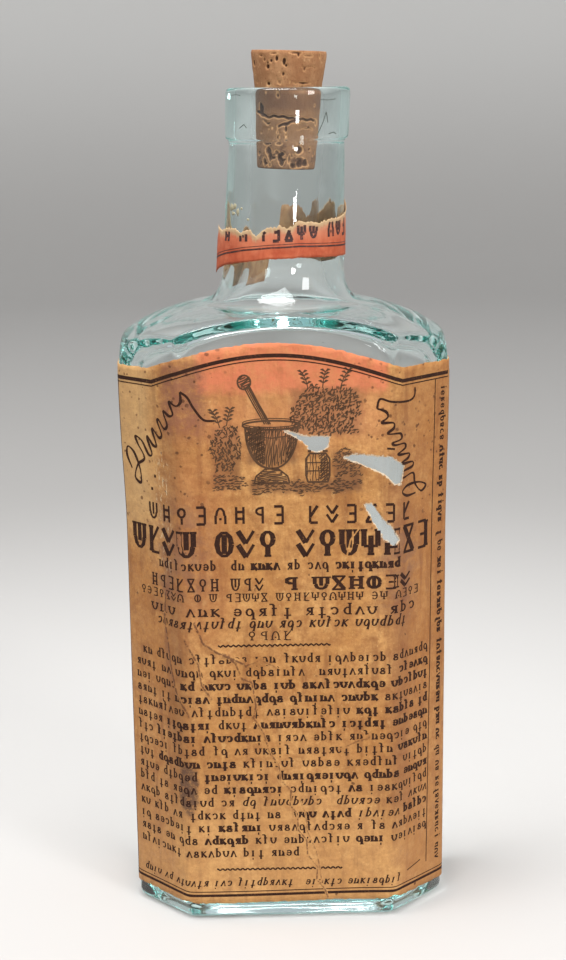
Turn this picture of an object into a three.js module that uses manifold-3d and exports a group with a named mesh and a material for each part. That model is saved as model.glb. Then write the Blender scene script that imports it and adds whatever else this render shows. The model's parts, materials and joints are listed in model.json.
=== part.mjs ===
// An old druggist's medicine bottle of mould-blown aqua glass: an oblong body of eight faces that splays a
// little towards its shoulder, a flat dome, a round neck that leans a little and a plain ring lip. It is
// closed by a tapered cork, with a paper label round the front and sides and a torn paper seal on the neck.
// Millimetres, +Z up. The origin is the middle of the foot. The label faces -Y.
import * as THREE from "three";
import { mergeVertices } from "three/addons/utils/BufferGeometryUtils.js";
import Module from "manifold-3d";

// Driving dimensions.
const body = { halfWidth: 35, halfDepth: 22.5, chamfer: 12, wall: 3 };
const foot = { heel: 2.4, ringWidth: 3.6, kickUp: 1.2, kickSlope: 2.2, floor: 6.5, floorFillet: 4.5 };
const splay = { start: 85, end: 122, left: 0.95, right: 0.5 }; // how far each side face leans out up there
const shoulder = { start: 119, breakRadius: 34.4, breakHeight: 130.4, rootRadius: 17.4, rootHeight: 137.2 };
const neck = { baseRadius: 13.3, baseHeight: 144, topRadius: 12.5, topHeight: 171.2 };
const lip = { bottomRadius: 13.1, topRadius: 13.35, bottomHeight: 172, top: 182.5, round: 0.9 };
const bore = { radius: 7.6, mouthFlare: 0.7, bottom: 152 };
const lean = { degrees: 2.1, start: 139 };
const cork = { topRadius: 8.25, waistRadius: 7.25, waist: 17, bottomRadius: 6.25, length: 24.6, bottom: 165.4 };
const corkEdge = 0.5;
const label = { bottom: 4.2, thickness: 0.2, gap: 0.3, left: -60, right: 56, centre: -3 };
const labelArch = { halfSpan: 28, side: 125, rise: 5.8 };
const seal = { gap: 0.3, thickness: 0.25, lift: 0.9 };
const EDGE_SHARPNESS = 90; // how tightly the faces of the glass meet: a higher power is a sharper edge

const wasm = await Module();
wasm.setup();

const radians = THREE.MathUtils.degToRad;

// ---- shared shape helpers ----

// Distance from the axis to the eight-sided section at an angle, with its faces moved in by inset,
// and never further out than limit. The power mean rounds every edge where two of them meet.
function sectionRadius(angle, inset, limit) {
  const x = Math.abs(Math.cos(angle));
  const y = Math.abs(Math.sin(angle));
  const chamferDistance = (body.halfWidth + body.halfDepth - body.chamfer) / Math.SQRT2 - inset;
  const inverses = [
    x / (body.halfWidth - inset),
    y / (body.halfDepth - inset),
    (x + y) / Math.SQRT2 / chamferDistance,
    1 / limit,
  ];
  const sum = inverses.reduce((total, value) => total + value ** EDGE_SHARPNESS, 0);
  return sum ** (-1 / EDGE_SHARPNESS);
}

// Angles round the bottle, closer together where the section turns a corner.
function sectionAngles() {
  const sideCorner = Math.atan2(body.halfDepth - body.chamfer, body.halfWidth);
  const frontCorner = Math.atan2(body.halfDepth, body.halfWidth - body.chamfer);
  const cornerStep = radians(0.8);
  const quarter = [0, radians(7), radians(13)];
  for (const step of [-1, 0, 1]) quarter.push(sideCorner + step * cornerStep);
  for (const degrees of [22, 30, 38]) quarter.push(radians(degrees));
  for (const step of [-1, 0, 1]) quarter.push(frontCorner + step * cornerStep);
  for (const degrees of [52, 61, 71, 80]) quarter.push(radians(degrees));
  const half = [...quarter, Math.PI / 2, ...quarter.slice(1).map((angle) => Math.PI - angle).reverse()];
  return [...half, ...half.map((angle) => angle + Math.PI)];
}

// Sideways shift of the neck's axis at a height.
function leanShift(height) {
  return Math.max(0, height - lean.start) * Math.tan(radians(lean.degrees));
}

// A point's x once the side faces splay out. The cube leaves the neck as it is.
function splayedX(x, height) {
  const reach = (x < 0 ? splay.left : splay.right) * THREE.MathUtils.smoothstep(height, splay.start, splay.end);
  return x + reach * (x / body.halfWidth) ** 3;
}

function geometryFrom(positions, triangles) {
  const geometry = new THREE.BufferGeometry();
  geometry.setAttribute("position", new THREE.Float32BufferAttribute(positions, 3));
  geometry.setIndex(triangles);
  return geometry;
}

// A closed skin over rings of points, from the middle of the first ring to the middle of the last.
function loft(rings, firstHeight, lastHeight) {
  const count = rings[0].length;
  const positions = [0, 0, firstHeight, ...rings.flat(2), 0, 0, lastHeight];
  const last = 1 + rings.length * count;
  const triangles = [];
  for (let i = 0; i < count; i++) {
    const next = (i + 1) % count;
    triangles.push(0, 1 + next, 1 + i);
    for (let ring = 0; ring < rings.length - 1; ring++) {
      const a = 1 + ring * count;
      const b = a + count;
      triangles.push(a + i, a + next, b + next, a + i, b + next, b + i);
    }
    triangles.push(last - count + i, last - count + next, last);
  }
  return geometryFrom(positions, triangles);
}

function solidOf(geometry) {
  const bare = geometry.clone();
  bare.deleteAttribute("normal");
  bare.deleteAttribute("uv");
  const merged = mergeVertices(bare);
  return new wasm.Manifold(
    new wasm.Mesh({
      numProp: 3,
      vertProperties: merged.attributes.position.array,
      triVerts: new Uint32Array(merged.index.array),
    }),
  );
}

function geometryOf(solid) {
  const mesh = solid.getMesh();
  return geometryFrom(Array.from(mesh.vertProperties), Array.from(mesh.triVerts));
}

function part(name, geometry, material) {
  geometry.computeVertexNormals();
  const mesh = new THREE.Mesh(geometry, material);
  mesh.name = name;
  return mesh;
}

// ---- the glass ----

// One ring of the glass: the eight-sided section moved in by inset, and held within the round limit.
function glassRing({ inset = 0, limit = 1000, height }) {
  const shift = leanShift(height);
  return sectionAngles().map((angle) => {
    const radius = sectionRadius(angle, inset, limit);
    return [shift + splayedX(radius * Math.cos(angle), height), radius * Math.sin(angle), height];
  });
}

// Points along a path of radius against height, as rings.
function ringsAlong(path, inset, divisions) {
  return path.getPoints(divisions).map((point) => ({ inset, limit: point.x, height: point.y }));
}

function footRings() {
  const ringInner = foot.heel + foot.ringWidth;
  const rings = [
    { inset: ringInner + foot.kickSlope, height: foot.kickUp },
    { inset: ringInner, height: 0 },
  ];
  for (const degrees of [0, 30, 60, 90]) {
    rings.push({
      inset: foot.heel * (1 - Math.sin(radians(degrees))),
      height: foot.heel * (1 - Math.cos(radians(degrees))),
    });
  }
  return rings;
}

// From the top of the straight faces, over the dome, up the neck and over the lip to the mouth.
function outerTopPath() {
  const path = new THREE.Path();
  path.moveTo(38, shoulder.start);
  path.bezierCurveTo(
    38, shoulder.start + 3,
    shoulder.breakRadius + 1.7, shoulder.breakHeight - 1.9,
    shoulder.breakRadius, shoulder.breakHeight,
  );
  path.bezierCurveTo(
    shoulder.breakRadius - 2.6, shoulder.breakHeight + 2.8,
    shoulder.rootRadius + 5.9, shoulder.rootHeight - 0.9,
    shoulder.rootRadius, shoulder.rootHeight,
  );
  path.bezierCurveTo(
    shoulder.rootRadius - 2.2, shoulder.rootHeight + 0.4,
    neck.baseRadius + 0.2, neck.baseHeight - 4.4,
    neck.baseRadius, neck.baseHeight,
  );
  return path;
}

function lipPath() {
  const path = new THREE.Path();
  path.moveTo(neck.topRadius, neck.topHeight);
  path.quadraticCurveTo(neck.topRadius + 0.1, lip.bottomHeight - 0.1, lip.bottomRadius, lip.bottomHeight);
  path.lineTo(lip.topRadius, lip.top - lip.round);
  path.quadraticCurveTo(lip.topRadius, lip.top, lip.topRadius - lip.round, lip.top);
  return path;
}

// Down the bore and out under the dome, a wall's thickness inside the outer skin.
function innerTopPath() {
  const path = new THREE.Path();
  path.moveTo(bore.radius + bore.mouthFlare, lip.top);
  path.quadraticCurveTo(bore.radius, lip.top, bore.radius, lip.top - 1.4);
  path.lineTo(bore.radius, bore.bottom);
  path.bezierCurveTo(bore.radius + 1, 142, 10, 135.4, shoulder.rootRadius, shoulder.rootHeight - 3.2);
  path.bezierCurveTo(
    shoulder.rootRadius + 5, shoulder.rootHeight - 4.2,
    shoulder.breakRadius - 5.6, shoulder.breakHeight - 1.4,
    shoulder.breakRadius - 3.4, shoulder.breakHeight - 3.8,
  );
  path.bezierCurveTo(
    shoulder.breakRadius - 1.6, shoulder.breakHeight - 5.8,
    38, shoulder.start + 2,
    38, shoulder.start - 3,
  );
  return path;
}

function floorRings() {
  const rings = [];
  for (const degrees of [90, 60, 30, 0]) {
    rings.push({
      inset: body.wall + foot.floorFillet * (1 - Math.sin(radians(degrees))),
      height: foot.floor + foot.floorFillet * (1 - Math.cos(radians(degrees))),
    });
  }
  return rings;
}

function glassBottle() {
  const rings = [
    ...footRings(),
    ...ringsAlong(outerTopPath(), 0, 5),
    ...ringsAlong(lipPath(), 0, 3),
    ...ringsAlong(innerTopPath(), body.wall, 4),
    ...floorRings(),
  ];
  return loft(rings.map(glassRing), foot.kickUp, foot.floor);
}

// ---- the cork ----

// The cork tapers slowly where it was squeezed into the bore and swells above the lip.
function corkStopper() {
  const { topRadius, waistRadius, waist, bottomRadius, length } = cork;
  const profile = [
    [0, 0],
    [bottomRadius - corkEdge, 0],
    [bottomRadius, corkEdge],
    [waistRadius, waist],
    [topRadius, length - corkEdge],
    [topRadius - corkEdge, length],
    [0, length],
  ].map(([x, y]) => new THREE.Vector2(x, y));
  return new THREE.LatheGeometry(profile, 40).rotateX(Math.PI / 2);
}

// ---- the paper label ----

// The corners of the glass that the label wraps, from the back left round the front to the back right,
// on a section grown by offset, each with its distance along the paper from the middle of the front.
function labelCorners(offset) {
  const halfWidth = body.halfWidth + offset;
  const halfDepth = body.halfDepth + offset;
  const chamfer = body.chamfer + offset * (2 - Math.SQRT2);
  const front = body.halfWidth - body.chamfer;
  const side = front + body.chamfer * Math.SQRT2;
  const rightHalf = [
    { s: front, x: halfWidth - chamfer, y: -halfDepth },
    { s: side, x: halfWidth, y: chamfer - halfDepth },
    { s: side + 2 * (body.halfDepth - body.chamfer), x: halfWidth, y: halfDepth - chamfer },
  ];
  const leftHalf = rightHalf.map(({ s, x, y }) => ({ s: -s, x: -x, y })).reverse();
  return [...leftHalf, ...rightHalf];
}

function labelPoint(s, offset) {
  const corners = labelCorners(offset);
  const index = Math.min(corners.length - 2, Math.max(0, corners.findIndex((corner) => corner.s >= s) - 1));
  const [from, to] = [corners[index], corners[index + 1]];
  const share = (s - from.s) / (to.s - from.s);
  return [from.x + share * (to.x - from.x), from.y + share * (to.y - from.y)];
}

// The printed head is cut as an arch over the front, with a level wing on each side.
function labelTop(s) {
  const across = (s - label.centre) / labelArch.halfSpan;
  if (Math.abs(across) >= 1) return labelArch.side;
  return labelArch.side + labelArch.rise * Math.cos((across * Math.PI) / 2);
}

// Distances along the paper where it is creased or needs a point on the arch.
function labelStations() {
  const arch = [];
  for (let i = 0; i <= 16; i++) {
    arch.push(label.centre + labelArch.halfSpan * (i / 8 - 1));
  }
  const creases = labelCorners(0).map((corner) => corner.s);
  const all = [label.left, ...creases, ...arch, label.right];
  return all.filter((s) => s >= label.left && s <= label.right).sort((a, b) => a - b);
}

// A closed strip from columns of four points: inner bottom, outer bottom, outer top and inner top.
function strip(columns, isRing) {
  const triangles = [];
  const spans = isRing ? columns.length : columns.length - 1;
  for (let i = 0; i < spans; i++) {
    const a = 4 * i;
    const b = 4 * ((i + 1) % columns.length);
    for (let side = 0; side < 4; side++) {
      const next = (side + 1) % 4;
      triangles.push(a + side, b + side, b + next, a + side, b + next, a + next);
    }
  }
  if (!isRing) {
    const last = 4 * (columns.length - 1);
    triangles.push(0, 1, 2, 0, 2, 3, last, last + 2, last + 1, last, last + 3, last + 2);
  }
  return geometryFrom(columns.flat(2), triangles);
}

// A hole torn through the front of the label, as the prism that cuts it, from points of x and height.
function tearPrism(points) {
  const outline = new THREE.Shape(points.map(([x, height]) => new THREE.Vector2(x, height)));
  const prism = new THREE.ExtrudeGeometry(outline, { depth: 20, bevelEnabled: false });
  return prism.rotateX(Math.PI / 2).translate(0, -10, 0);
}

function bodyLabel() {
  const inner = label.gap;
  const outer = label.gap + label.thickness;
  const columns = labelStations().map((s) => {
    const [innerX, innerY] = labelPoint(s, inner);
    const [outerX, outerY] = labelPoint(s, outer);
    const top = labelTop(s);
    return [
      [innerX, innerY, label.bottom],
      [outerX, outerY, label.bottom],
      [splayedX(outerX, top), outerY, top],
      [splayedX(innerX, top), innerY, top],
    ];
  });
  const tears = [
    [[-0.6, 112.3], [3.4, 110], [5.5, 107.9], [8.5, 108.4], [8.9, 110.6], [4.5, 110.7]],
    [[12, 106.2], [19.5, 103.1], [22.6, 100.2], [23.8, 101.2], [24.2, 104.2], [21, 106.1], [14.4, 106.8]],
    [[16.5, 95.9], [18.4, 92.2], [21, 88], [23.3, 86.9], [23.6, 89.2], [21, 92], [17.9, 96]],
  ];
  const torn = tears.reduce((paper, points) => {
    return paper.subtract(solidOf(tearPrism(points)));
  }, solidOf(strip(columns, false)));
  return geometryOf(torn);
}

// ---- the neck seal ----

// Heights of the seal's torn upper edge and of its lower edge, at equal steps round the neck,
// counter-clockwise from the right. The lower edge hangs in a loose tab at the back left.
const sealTop = [157.4, 157.8, 155.2, 154.4, 156.6, 156.3, 154.1, 152.6, 153.5, 152.9, 153.8, 153.4,
  152.2, 153.9, 154.6, 155.1, 154.5, 155.4, 156.1, 156.8];
const sealBottom = [147, 147, 146.8, 146.2, 145.2, 144, 140.8, 140.6, 142.4, 143, 143.2, 144.4,
  145.8, 146.9, 147.2, 147.3, 147.3, 147.1, 147, 147];

function neckRadiusAt(height) {
  const share = (height - neck.baseHeight) / (neck.topHeight - neck.baseHeight);
  const straight = neck.baseRadius + share * (neck.topRadius - neck.baseRadius);
  const belowFillet = Math.max(0, neck.baseHeight - height);
  return straight + 0.06 * belowFillet ** 2;
}

// The paper stands off the glass on the left, where its glue has let go.
function sealOffset(angle) {
  return seal.gap + seal.lift * Math.max(0, Math.cos(angle - Math.PI)) ** 3;
}

function neckSeal() {
  const columns = sealTop.map((top, i) => {
    const angle = (i / sealTop.length) * 2 * Math.PI;
    const chord = 1 / Math.cos(Math.PI / sealTop.length); // keeps the flats between points clear of the round neck
    const at = (height, extra) => {
      const radius = (neckRadiusAt(height) + sealOffset(angle) + extra) * chord;
      return [leanShift(height) + radius * Math.cos(angle), radius * Math.sin(angle), height];
    };
    const bottom = sealBottom[i];
    return [at(bottom, 0), at(bottom, seal.thickness), at(top, seal.thickness), at(top, 0)];
  });
  return strip(columns, true);
}

// ---- materials and assembly ----

const glassMaterial = new THREE.MeshStandardMaterial({ color: 0xb4ccc4, roughness: 0.05, metalness: 0 });
const corkMaterial = new THREE.MeshStandardMaterial({ color: 0xb5844f, roughness: 0.9, metalness: 0 });
const labelMaterial = new THREE.MeshStandardMaterial({ color: 0xc6955a, roughness: 0.85, metalness: 0 });
const sealMaterial = new THREE.MeshStandardMaterial({ color: 0xcf6a45, roughness: 0.85, metalness: 0 });

const stopperGroup = new THREE.Group();
stopperGroup.position.set(leanShift(cork.bottom), 0, cork.bottom);
stopperGroup.rotation.y = radians(lean.degrees);
stopperGroup.add(part("cork_stopper", corkStopper(), corkMaterial));

const bottle = new THREE.Group();
bottle.add(part("glass_bottle", glassBottle(), glassMaterial));
bottle.add(part("body_label", bodyLabel(), labelMaterial));
bottle.add(part("neck_seal", neckSeal(), sealMaterial));
bottle.add(stopperGroup);

export default bottle;
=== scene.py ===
"""An old medicine bottle: aqua glass, a pitted cork, an aged paper label and a torn neck seal."""

import json
import math
import random
from collections import namedtuple
from itertools import groupby

import bpy
import numpy as np
from mathutils import Matrix, Vector
from mathutils.geometry import delaunay_2d_cdt


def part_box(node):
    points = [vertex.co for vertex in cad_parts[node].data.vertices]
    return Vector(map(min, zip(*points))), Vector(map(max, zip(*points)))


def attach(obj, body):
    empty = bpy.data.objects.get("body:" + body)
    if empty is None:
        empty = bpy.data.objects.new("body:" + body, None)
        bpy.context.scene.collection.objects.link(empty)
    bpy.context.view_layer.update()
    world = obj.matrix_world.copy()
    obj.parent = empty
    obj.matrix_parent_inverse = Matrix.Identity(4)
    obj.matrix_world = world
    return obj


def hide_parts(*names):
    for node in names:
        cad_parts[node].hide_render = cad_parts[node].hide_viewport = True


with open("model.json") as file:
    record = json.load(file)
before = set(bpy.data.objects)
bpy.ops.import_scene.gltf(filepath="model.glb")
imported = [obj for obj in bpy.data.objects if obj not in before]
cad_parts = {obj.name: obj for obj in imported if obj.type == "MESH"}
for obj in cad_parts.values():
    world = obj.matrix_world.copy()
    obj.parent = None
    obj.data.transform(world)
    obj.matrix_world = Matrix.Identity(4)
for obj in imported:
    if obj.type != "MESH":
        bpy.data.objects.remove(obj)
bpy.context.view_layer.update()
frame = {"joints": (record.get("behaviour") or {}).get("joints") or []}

MM = 0.001  # shapes are worked out in millimetres and stored in metres

# ---- camera ----

CAMERA_PLACE = (-7.2, -373.3, 183.9)  # mm
CAMERA_YAW, CAMERA_PITCH, CAMERA_ROLL = -1.03, -13.22, -0.69  # degrees
CAMERA_LENS = 63.8  # mm, on the default 36 mm sensor


def add_camera():
    yaw, pitch, roll = (math.radians(a) for a in (CAMERA_YAW, CAMERA_PITCH, CAMERA_ROLL))
    forward = Vector((-math.sin(yaw) * math.cos(pitch), math.cos(yaw) * math.cos(pitch), math.sin(pitch)))
    level_right = Vector((math.cos(yaw), math.sin(yaw), 0))
    level_up = level_right.cross(forward)
    right = math.cos(roll) * level_right + math.sin(roll) * level_up
    up = math.cos(roll) * level_up - math.sin(roll) * level_right
    camera = bpy.data.objects.new("camera", bpy.data.cameras.new("camera"))
    bpy.context.scene.collection.objects.link(camera)
    axes = Matrix((right, up, -forward)).transposed()
    camera.matrix_world = Matrix.Translation(Vector(CAMERA_PLACE) * MM) @ axes.to_4x4()
    camera.data.lens = CAMERA_LENS
    bpy.context.scene.camera = camera


add_camera()

# ---- sizes, from the frame and in millimetres ----

glass_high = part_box("glass_bottle")[1] / MM
cork_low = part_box("cork_stopper")[0] / MM
SPLAY_LEFT, SPLAY_RIGHT = 0.95, 0.5  # how far the side faces lean out at the shoulder
HALF_WIDTH, HALF_DEPTH = glass_high.x - SPLAY_RIGHT, glass_high.y
LIP_TOP = glass_high.z
CHAMFER = 12.0
SHOULDER_START = 119.0
EDGE_SHARPNESS, INNER_SHARPNESS = 90, 26  # how tightly the faces meet: a higher power is a sharper edge
UNLIMITED = 1000.0  # a limit past anything, for rings of the body
lean_axis = Vector(frame["joints"][0]["axis"])
LEAN = lean_axis.x / lean_axis.z
LEAN_START = 139.0
ANY_PHASE = 6.28  # the top of the range for a wave's random phase, in radians


def lean_shift(height):
    return np.maximum(0, np.asarray(height, float) - LEAN_START) * LEAN


def splayed(x, height):
    """x once the side faces splay out. The cube leaves the neck nearly as it is."""
    reach = np.where(x < 0, SPLAY_LEFT, SPLAY_RIGHT) * smoothstep(85, 122, height)
    return x + reach * (x / HALF_WIDTH) ** 3


def smoothstep(low, high, value):
    share = np.clip((np.asarray(value, float) - low) / (high - low), 0, 1)
    return share * share * (3 - 2 * share)


def bends(start, *rows):
    """Points along Bezier bends, end to end. A row is two control points, an end and a number of points."""
    made = [np.array([start], float)]
    for *controls, end, count in rows:
        t = np.linspace(0, 1, count)[1:, None]
        points = [np.array(p, float) for p in (start, *controls, end)]
        weights = ((1 - t) ** 3, 3 * t * (1 - t) ** 2, 3 * t * t * (1 - t), t**3)
        made.append(sum(weight * point for weight, point in zip(weights, points)))
        start = end
    return np.concatenate(made)


def ripple(x, y, z, wavelength, seed):
    """Smooth noise from -1 to 1, made of a few tilted waves with seeded directions."""
    draw = random.Random(seed)
    total = 0
    for _ in range(6):
        direction = Vector((draw.gauss(0, 1), draw.gauss(0, 1), draw.gauss(0, 1))).normalized()
        direction = direction * (2 * math.pi / (wavelength * draw.uniform(0.6, 1.7)))
        phase = draw.uniform(0, ANY_PHASE)
        total = total + np.sin(x * direction.x + y * direction.y + z * direction.z + phase)
    return total / 6


# ---- mesh helpers ----


def add_piece(name, points, faces, material, body, smooth=True, weights=None):
    """A piece from points in millimetres. weights holds extra values for each point, by name."""
    mesh = bpy.data.meshes.new(name)
    mesh.from_pydata((np.asarray(points, float) * MM).tolist(), [], faces)
    mesh.validate()
    if smooth:
        mesh.shade_smooth()
    for key, values in (weights or {}).items():
        values = np.asarray(values, np.float32)
        if values.ndim == 1:
            mesh.attributes.new(key, "FLOAT", "POINT").data.foreach_set("value", values)
        else:
            mesh.attributes.new(key, "FLOAT_VECTOR", "POINT").data.foreach_set("vector", values.ravel())
    mesh.materials.append(material)
    piece = bpy.data.objects.new(name, mesh)
    bpy.context.scene.collection.objects.link(piece)
    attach(piece, body)
    return piece


def band_faces(low, high, columns):
    """Quads from one ring of points to another. low and high are the numbers of the rings' first points."""
    pairs = [(i, (i + 1) % columns) for i in range(columns)]
    return [(low + i, low + following, high + following, high + i) for i, following in pairs]


def loft_faces(rows, columns, first=0):
    """Bands over rings of points in order, and a fan to a point before and after them."""
    last = first + 1 + (rows - 1) * columns
    faces = []
    for base in range(first + 1, last, columns):
        faces += band_faces(base, base + columns, columns)
    for i in range(columns):
        following = (i + 1) % columns
        faces.append((first, first + 1 + following, first + 1 + i))
        faces.append((last + i, last + following, last + columns))
    return faces


# ---- material helpers ----


class Nodes:
    """Short calls for building one material's node tree. Values may be sockets or numbers."""

    def __init__(self, name):
        self.material = bpy.data.materials.new(name)
        self.material.use_nodes = True
        self.tree = self.material.node_tree
        self.tree.nodes.clear()
        self.output = self.tree.nodes.new("ShaderNodeOutputMaterial")
        self.shader = self.tree.nodes.new("ShaderNodeBsdfPrincipled")
        self.tree.links.new(self.shader.outputs[0], self.output.inputs["Surface"])

    def put(self, socket, value):
        if isinstance(value, bpy.types.NodeSocket):
            self.tree.links.new(value, socket)
        elif isinstance(value, tuple) and len(value) == 3 and socket.type == "RGBA":
            socket.default_value = (*value, 1)
        else:
            socket.default_value = value

    def node(self, kind, inputs=None, output=0, **settings):
        made = self.tree.nodes.new(kind)
        for key, value in settings.items():
            setattr(made, key, value)
        for key, value in (inputs or {}).items():
            self.put(made.inputs[key], value)
        return made.outputs[output]

    def set(self, **values):
        for key, value in values.items():
            self.put(self.shader.inputs[key.replace("_", " ")], value)

    def math(self, operation, a, b=0.0, c=0.0):
        return self.node("ShaderNodeMath", {0: a, 1: b, 2: c}, operation=operation)

    def vector(self, operation, a, b):
        return self.node("ShaderNodeVectorMath", {0: a, 1: b}, operation=operation)

    def length(self, vector):
        return self.node("ShaderNodeVectorMath", {0: vector}, operation="LENGTH", output=1)

    def attribute(self, name, output="Vector"):
        return self.node("ShaderNodeAttribute", attribute_name=name, output=output)

    def object_mm(self):
        place = self.node("ShaderNodeTexCoord", output="Object")
        return self.node("ShaderNodeVectorMath", {0: place, "Scale": 1 / MM}, operation="SCALE")

    def split(self, vector):
        return [self.node("ShaderNodeSeparateXYZ", {0: vector}, output=i) for i in range(3)]

    def noise(self, place, size, detail=3.0, roughness=0.55, output=0, stretch=None):
        """Noise from 0 to 1 whose lumps are about size millimetres across."""
        if stretch:
            place = self.vector("MULTIPLY", place, stretch)
        inputs = {"Vector": place, "Scale": 1 / size, "Detail": detail, "Roughness": roughness}
        return self.node("ShaderNodeTexNoise", inputs, output=output)

    def cells(self, place, size):
        """Distance to the nearest of scattered points, about size millimetres apart, as a share of that."""
        return self.node("ShaderNodeTexVoronoi", {"Vector": place, "Scale": 1 / size})

    def between(self, value, low, high, out_low=0.0, out_high=1.0):
        inputs = {"Value": value, "From Min": low, "From Max": high, "To Min": out_low, "To Max": out_high}
        return self.node("ShaderNodeMapRange", inputs, interpolation_type="SMOOTHSTEP")

    def lumps(self, place, size, low, high, detail=3.0, roughness=0.55, stretch=None, out=(0.0, 1.0)):
        """Soft-edged patches: out[0] where noise is under low, and out[1] where it is over high."""
        return self.between(self.noise(place, size, detail, roughness, 0, stretch), low, high, *out)

    def waver(self, place, size, reach, detail, roughness=0.55):
        """Noise that runs half the reach either way from 0."""
        return self.math("MULTIPLY_ADD", self.noise(place, size, detail, roughness), reach, -reach / 2)

    def span(self, value, low, high, soft):
        """1 between low and high, fading to 0 over soft on each side."""
        rise = self.between(value, low - soft, low + soft)
        fall = self.between(value, high - soft, high + soft, 1.0, 0.0)
        return self.math("MULTIPLY", rise, fall)

    def mix(self, share, a, b):
        made = self.tree.nodes.new("ShaderNodeMix")
        made.data_type = "RGBA"
        for index, value in (("Factor", share), (6, a), (7, b)):
            self.put(made.inputs[index], value)
        return made.outputs[2]

    def tint(self, tone, share, mask, colour):
        """tone with a screen colour laid over it where the mask is, as strongly as share says."""
        return self.mix(self.math("MULTIPLY", mask, share), tone, srgb(*colour))

    def mottled(self, tone, place, rows):
        """tone with a layer of patches for each row of a table of mottles."""
        for *lumps, share, colour in rows:
            tone = self.tint(tone, share, self.lumps(place, *lumps), colour)
        return tone

    def bump(self, height, strength, distance_mm):
        inputs = {"Strength": strength, "Distance": distance_mm * MM, "Height": height}
        return self.node("ShaderNodeBump", inputs)


def srgb(red, green, blue):
    """A colour given as it looks on a screen, from 0 to 255, as the linear values a shader takes."""
    shares = (red / 255, green / 255, blue / 255)
    return tuple(c / 12.92 if c <= 0.04045 else ((c + 0.055) / 1.055) ** 2.4 for c in shares)


# A table of mottles has one row for each layer of patches: the size of the patches, the values of the noise
# where they start and where they are full, its detail, its roughness, its stretch, the layer's share, and
# its colour.

# ---- the glass ----

OUTER_PROFILE = bends(  # (limit, height) up the dome, the neck and the lip
    (38, SHOULDER_START),
    ((38, 122), (36.1, 128.5), (34.4, 130.4), 16),
    ((31.8, 133.2), (23.3, 136.3), (17.4, 137.2), 26),
    ((15.2, 137.6), (13.5, 139.6), (13.3, 144), 14),
    ((13.1, 152.5), (12.75, 162), (12.5, 170.6), 16),
    ((12.5, 171.5), (12.75, 171.6), (12.95, 171.75), 6),
    ((13.25, 171.9), (13.3, 172.2), (13.3, 172.9), 6),
    ((13.42, 176), (13.42, 179), (13.4, 181.3), 8),
    ((13.4, 182.2), (13, LIP_TOP), (12.2, LIP_TOP), 8),
    ((11, 182.35), (9.8, 182.35), (8.6, LIP_TOP), 6),
)
INNER_PROFILE = bends(  # (limit, height) down the bore and out under the dome
    (8.6, LIP_TOP),
    ((7.9, 182.4), (7.6, 182), (7.6, 180.8), 7),
    ((7.55, 170), (7.6, 160), (7.7, 152), 22),
    ((8.4, 142), (11, 134.9), (17.4, 134.1), 18),
    ((23.4, 133.2), (29.2, 130.4), (31.3, 127.4), 20),
    ((33.2, 124.8), (38, 122), (38, 116), 14),
)
FOOT_RING, RING_SLOPE, KICK_UP = 6.0, 2.6, 1.2  # the ring it stands on, and the hollow inside the ring
HEEL = 2.4
WALL, LOW_WALL_GAIN = 3.0, 0.9  # thickness, and how much thicker it gets towards the floor
FLOOR, FLOOR_FILLET = 7.0, 6.5


def section_radius(angle, inset, limit, sharpness):
    """Distance from the axis to the eight-sided section, its faces moved in by inset, within limit."""
    x, y = np.abs(np.cos(angle)), np.abs(np.sin(angle))
    chamfer_distance = (HALF_WIDTH + HALF_DEPTH - CHAMFER) / math.sqrt(2) - inset
    inverses = (x / (HALF_WIDTH - inset), y / (HALF_DEPTH - inset), (x + y) / math.sqrt(2) / chamfer_distance)
    total = sum(value**sharpness for value in inverses) + (1 / limit) ** sharpness
    return total ** (-1 / sharpness)


def ring_angles(count):
    """Angles round the bottle, closer together where the section turns a corner."""
    fine = np.linspace(0, 2 * math.pi, 7201)
    side = math.atan2(HALF_DEPTH - CHAMFER, HALF_WIDTH)
    front = math.atan2(HALF_DEPTH, HALF_WIDTH - CHAMFER)
    weight = np.ones_like(fine)
    for quarter in range(4):
        for corner in (side, front):
            centre = corner if quarter % 2 == 0 else math.pi - corner
            centre += math.pi * (quarter // 2)
            weight += 13 * np.exp(-(((fine - centre) / math.radians(1.3)) ** 2))
    total = np.concatenate([[0], np.cumsum((weight[1:] + weight[:-1]) / 2)])
    return np.interp(np.arange(count) / count * total[-1], total, fine)


def outer_limit(height):
    """Radius of the dome, the neck or the lip at a height. Nothing limits the body below the shoulder."""
    rising = OUTER_PROFILE[: int(np.argmax(OUTER_PROFILE[:, 1])) + 1]
    limits = np.interp(height, rising[:, 1], rising[:, 0])
    return np.where(np.asarray(height) < SHOULDER_START, UNLIMITED, limits)


def glass_row(angles, inset, limit, height, scale=1.0, inner=False):
    """One ring of the glass. The mould left the outside nearly true, and the blown inside is wavy."""
    sharpness = INNER_SHARPNESS if inner else EDGE_SHARPNESS
    radius = scale * section_radius(angles, inset, limit, sharpness)
    x, y = radius * np.cos(angles), radius * np.sin(angles)
    z = np.full_like(x, height)
    if inner:
        wave = 0.12 + 0.33 * smoothstep(7, 22, limit)  # gentler in the narrow bore
        radius = radius + wave * ripple(x, y, z, 17, 3) + 0.1 * ripple(x, y, z, 6, 5)
    else:
        heel = 1 - smoothstep(3, 9, z)
        radius = radius - 0.07 * (1 + ripple(x, y, z, 22, 1)) - 0.12 * heel * (1 + ripple(x, y, z, 7, 2))
        over = smoothstep(SHOULDER_START + 8, 132, z)
        z = z + 0.1 * over * ripple(x, y, z, 9, 4) * (z < LIP_TOP - 0.6)
    x = lean_shift(height) + splayed(radius * np.cos(angles), z)
    return np.stack([x, radius * np.sin(angles), z], -1)


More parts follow.
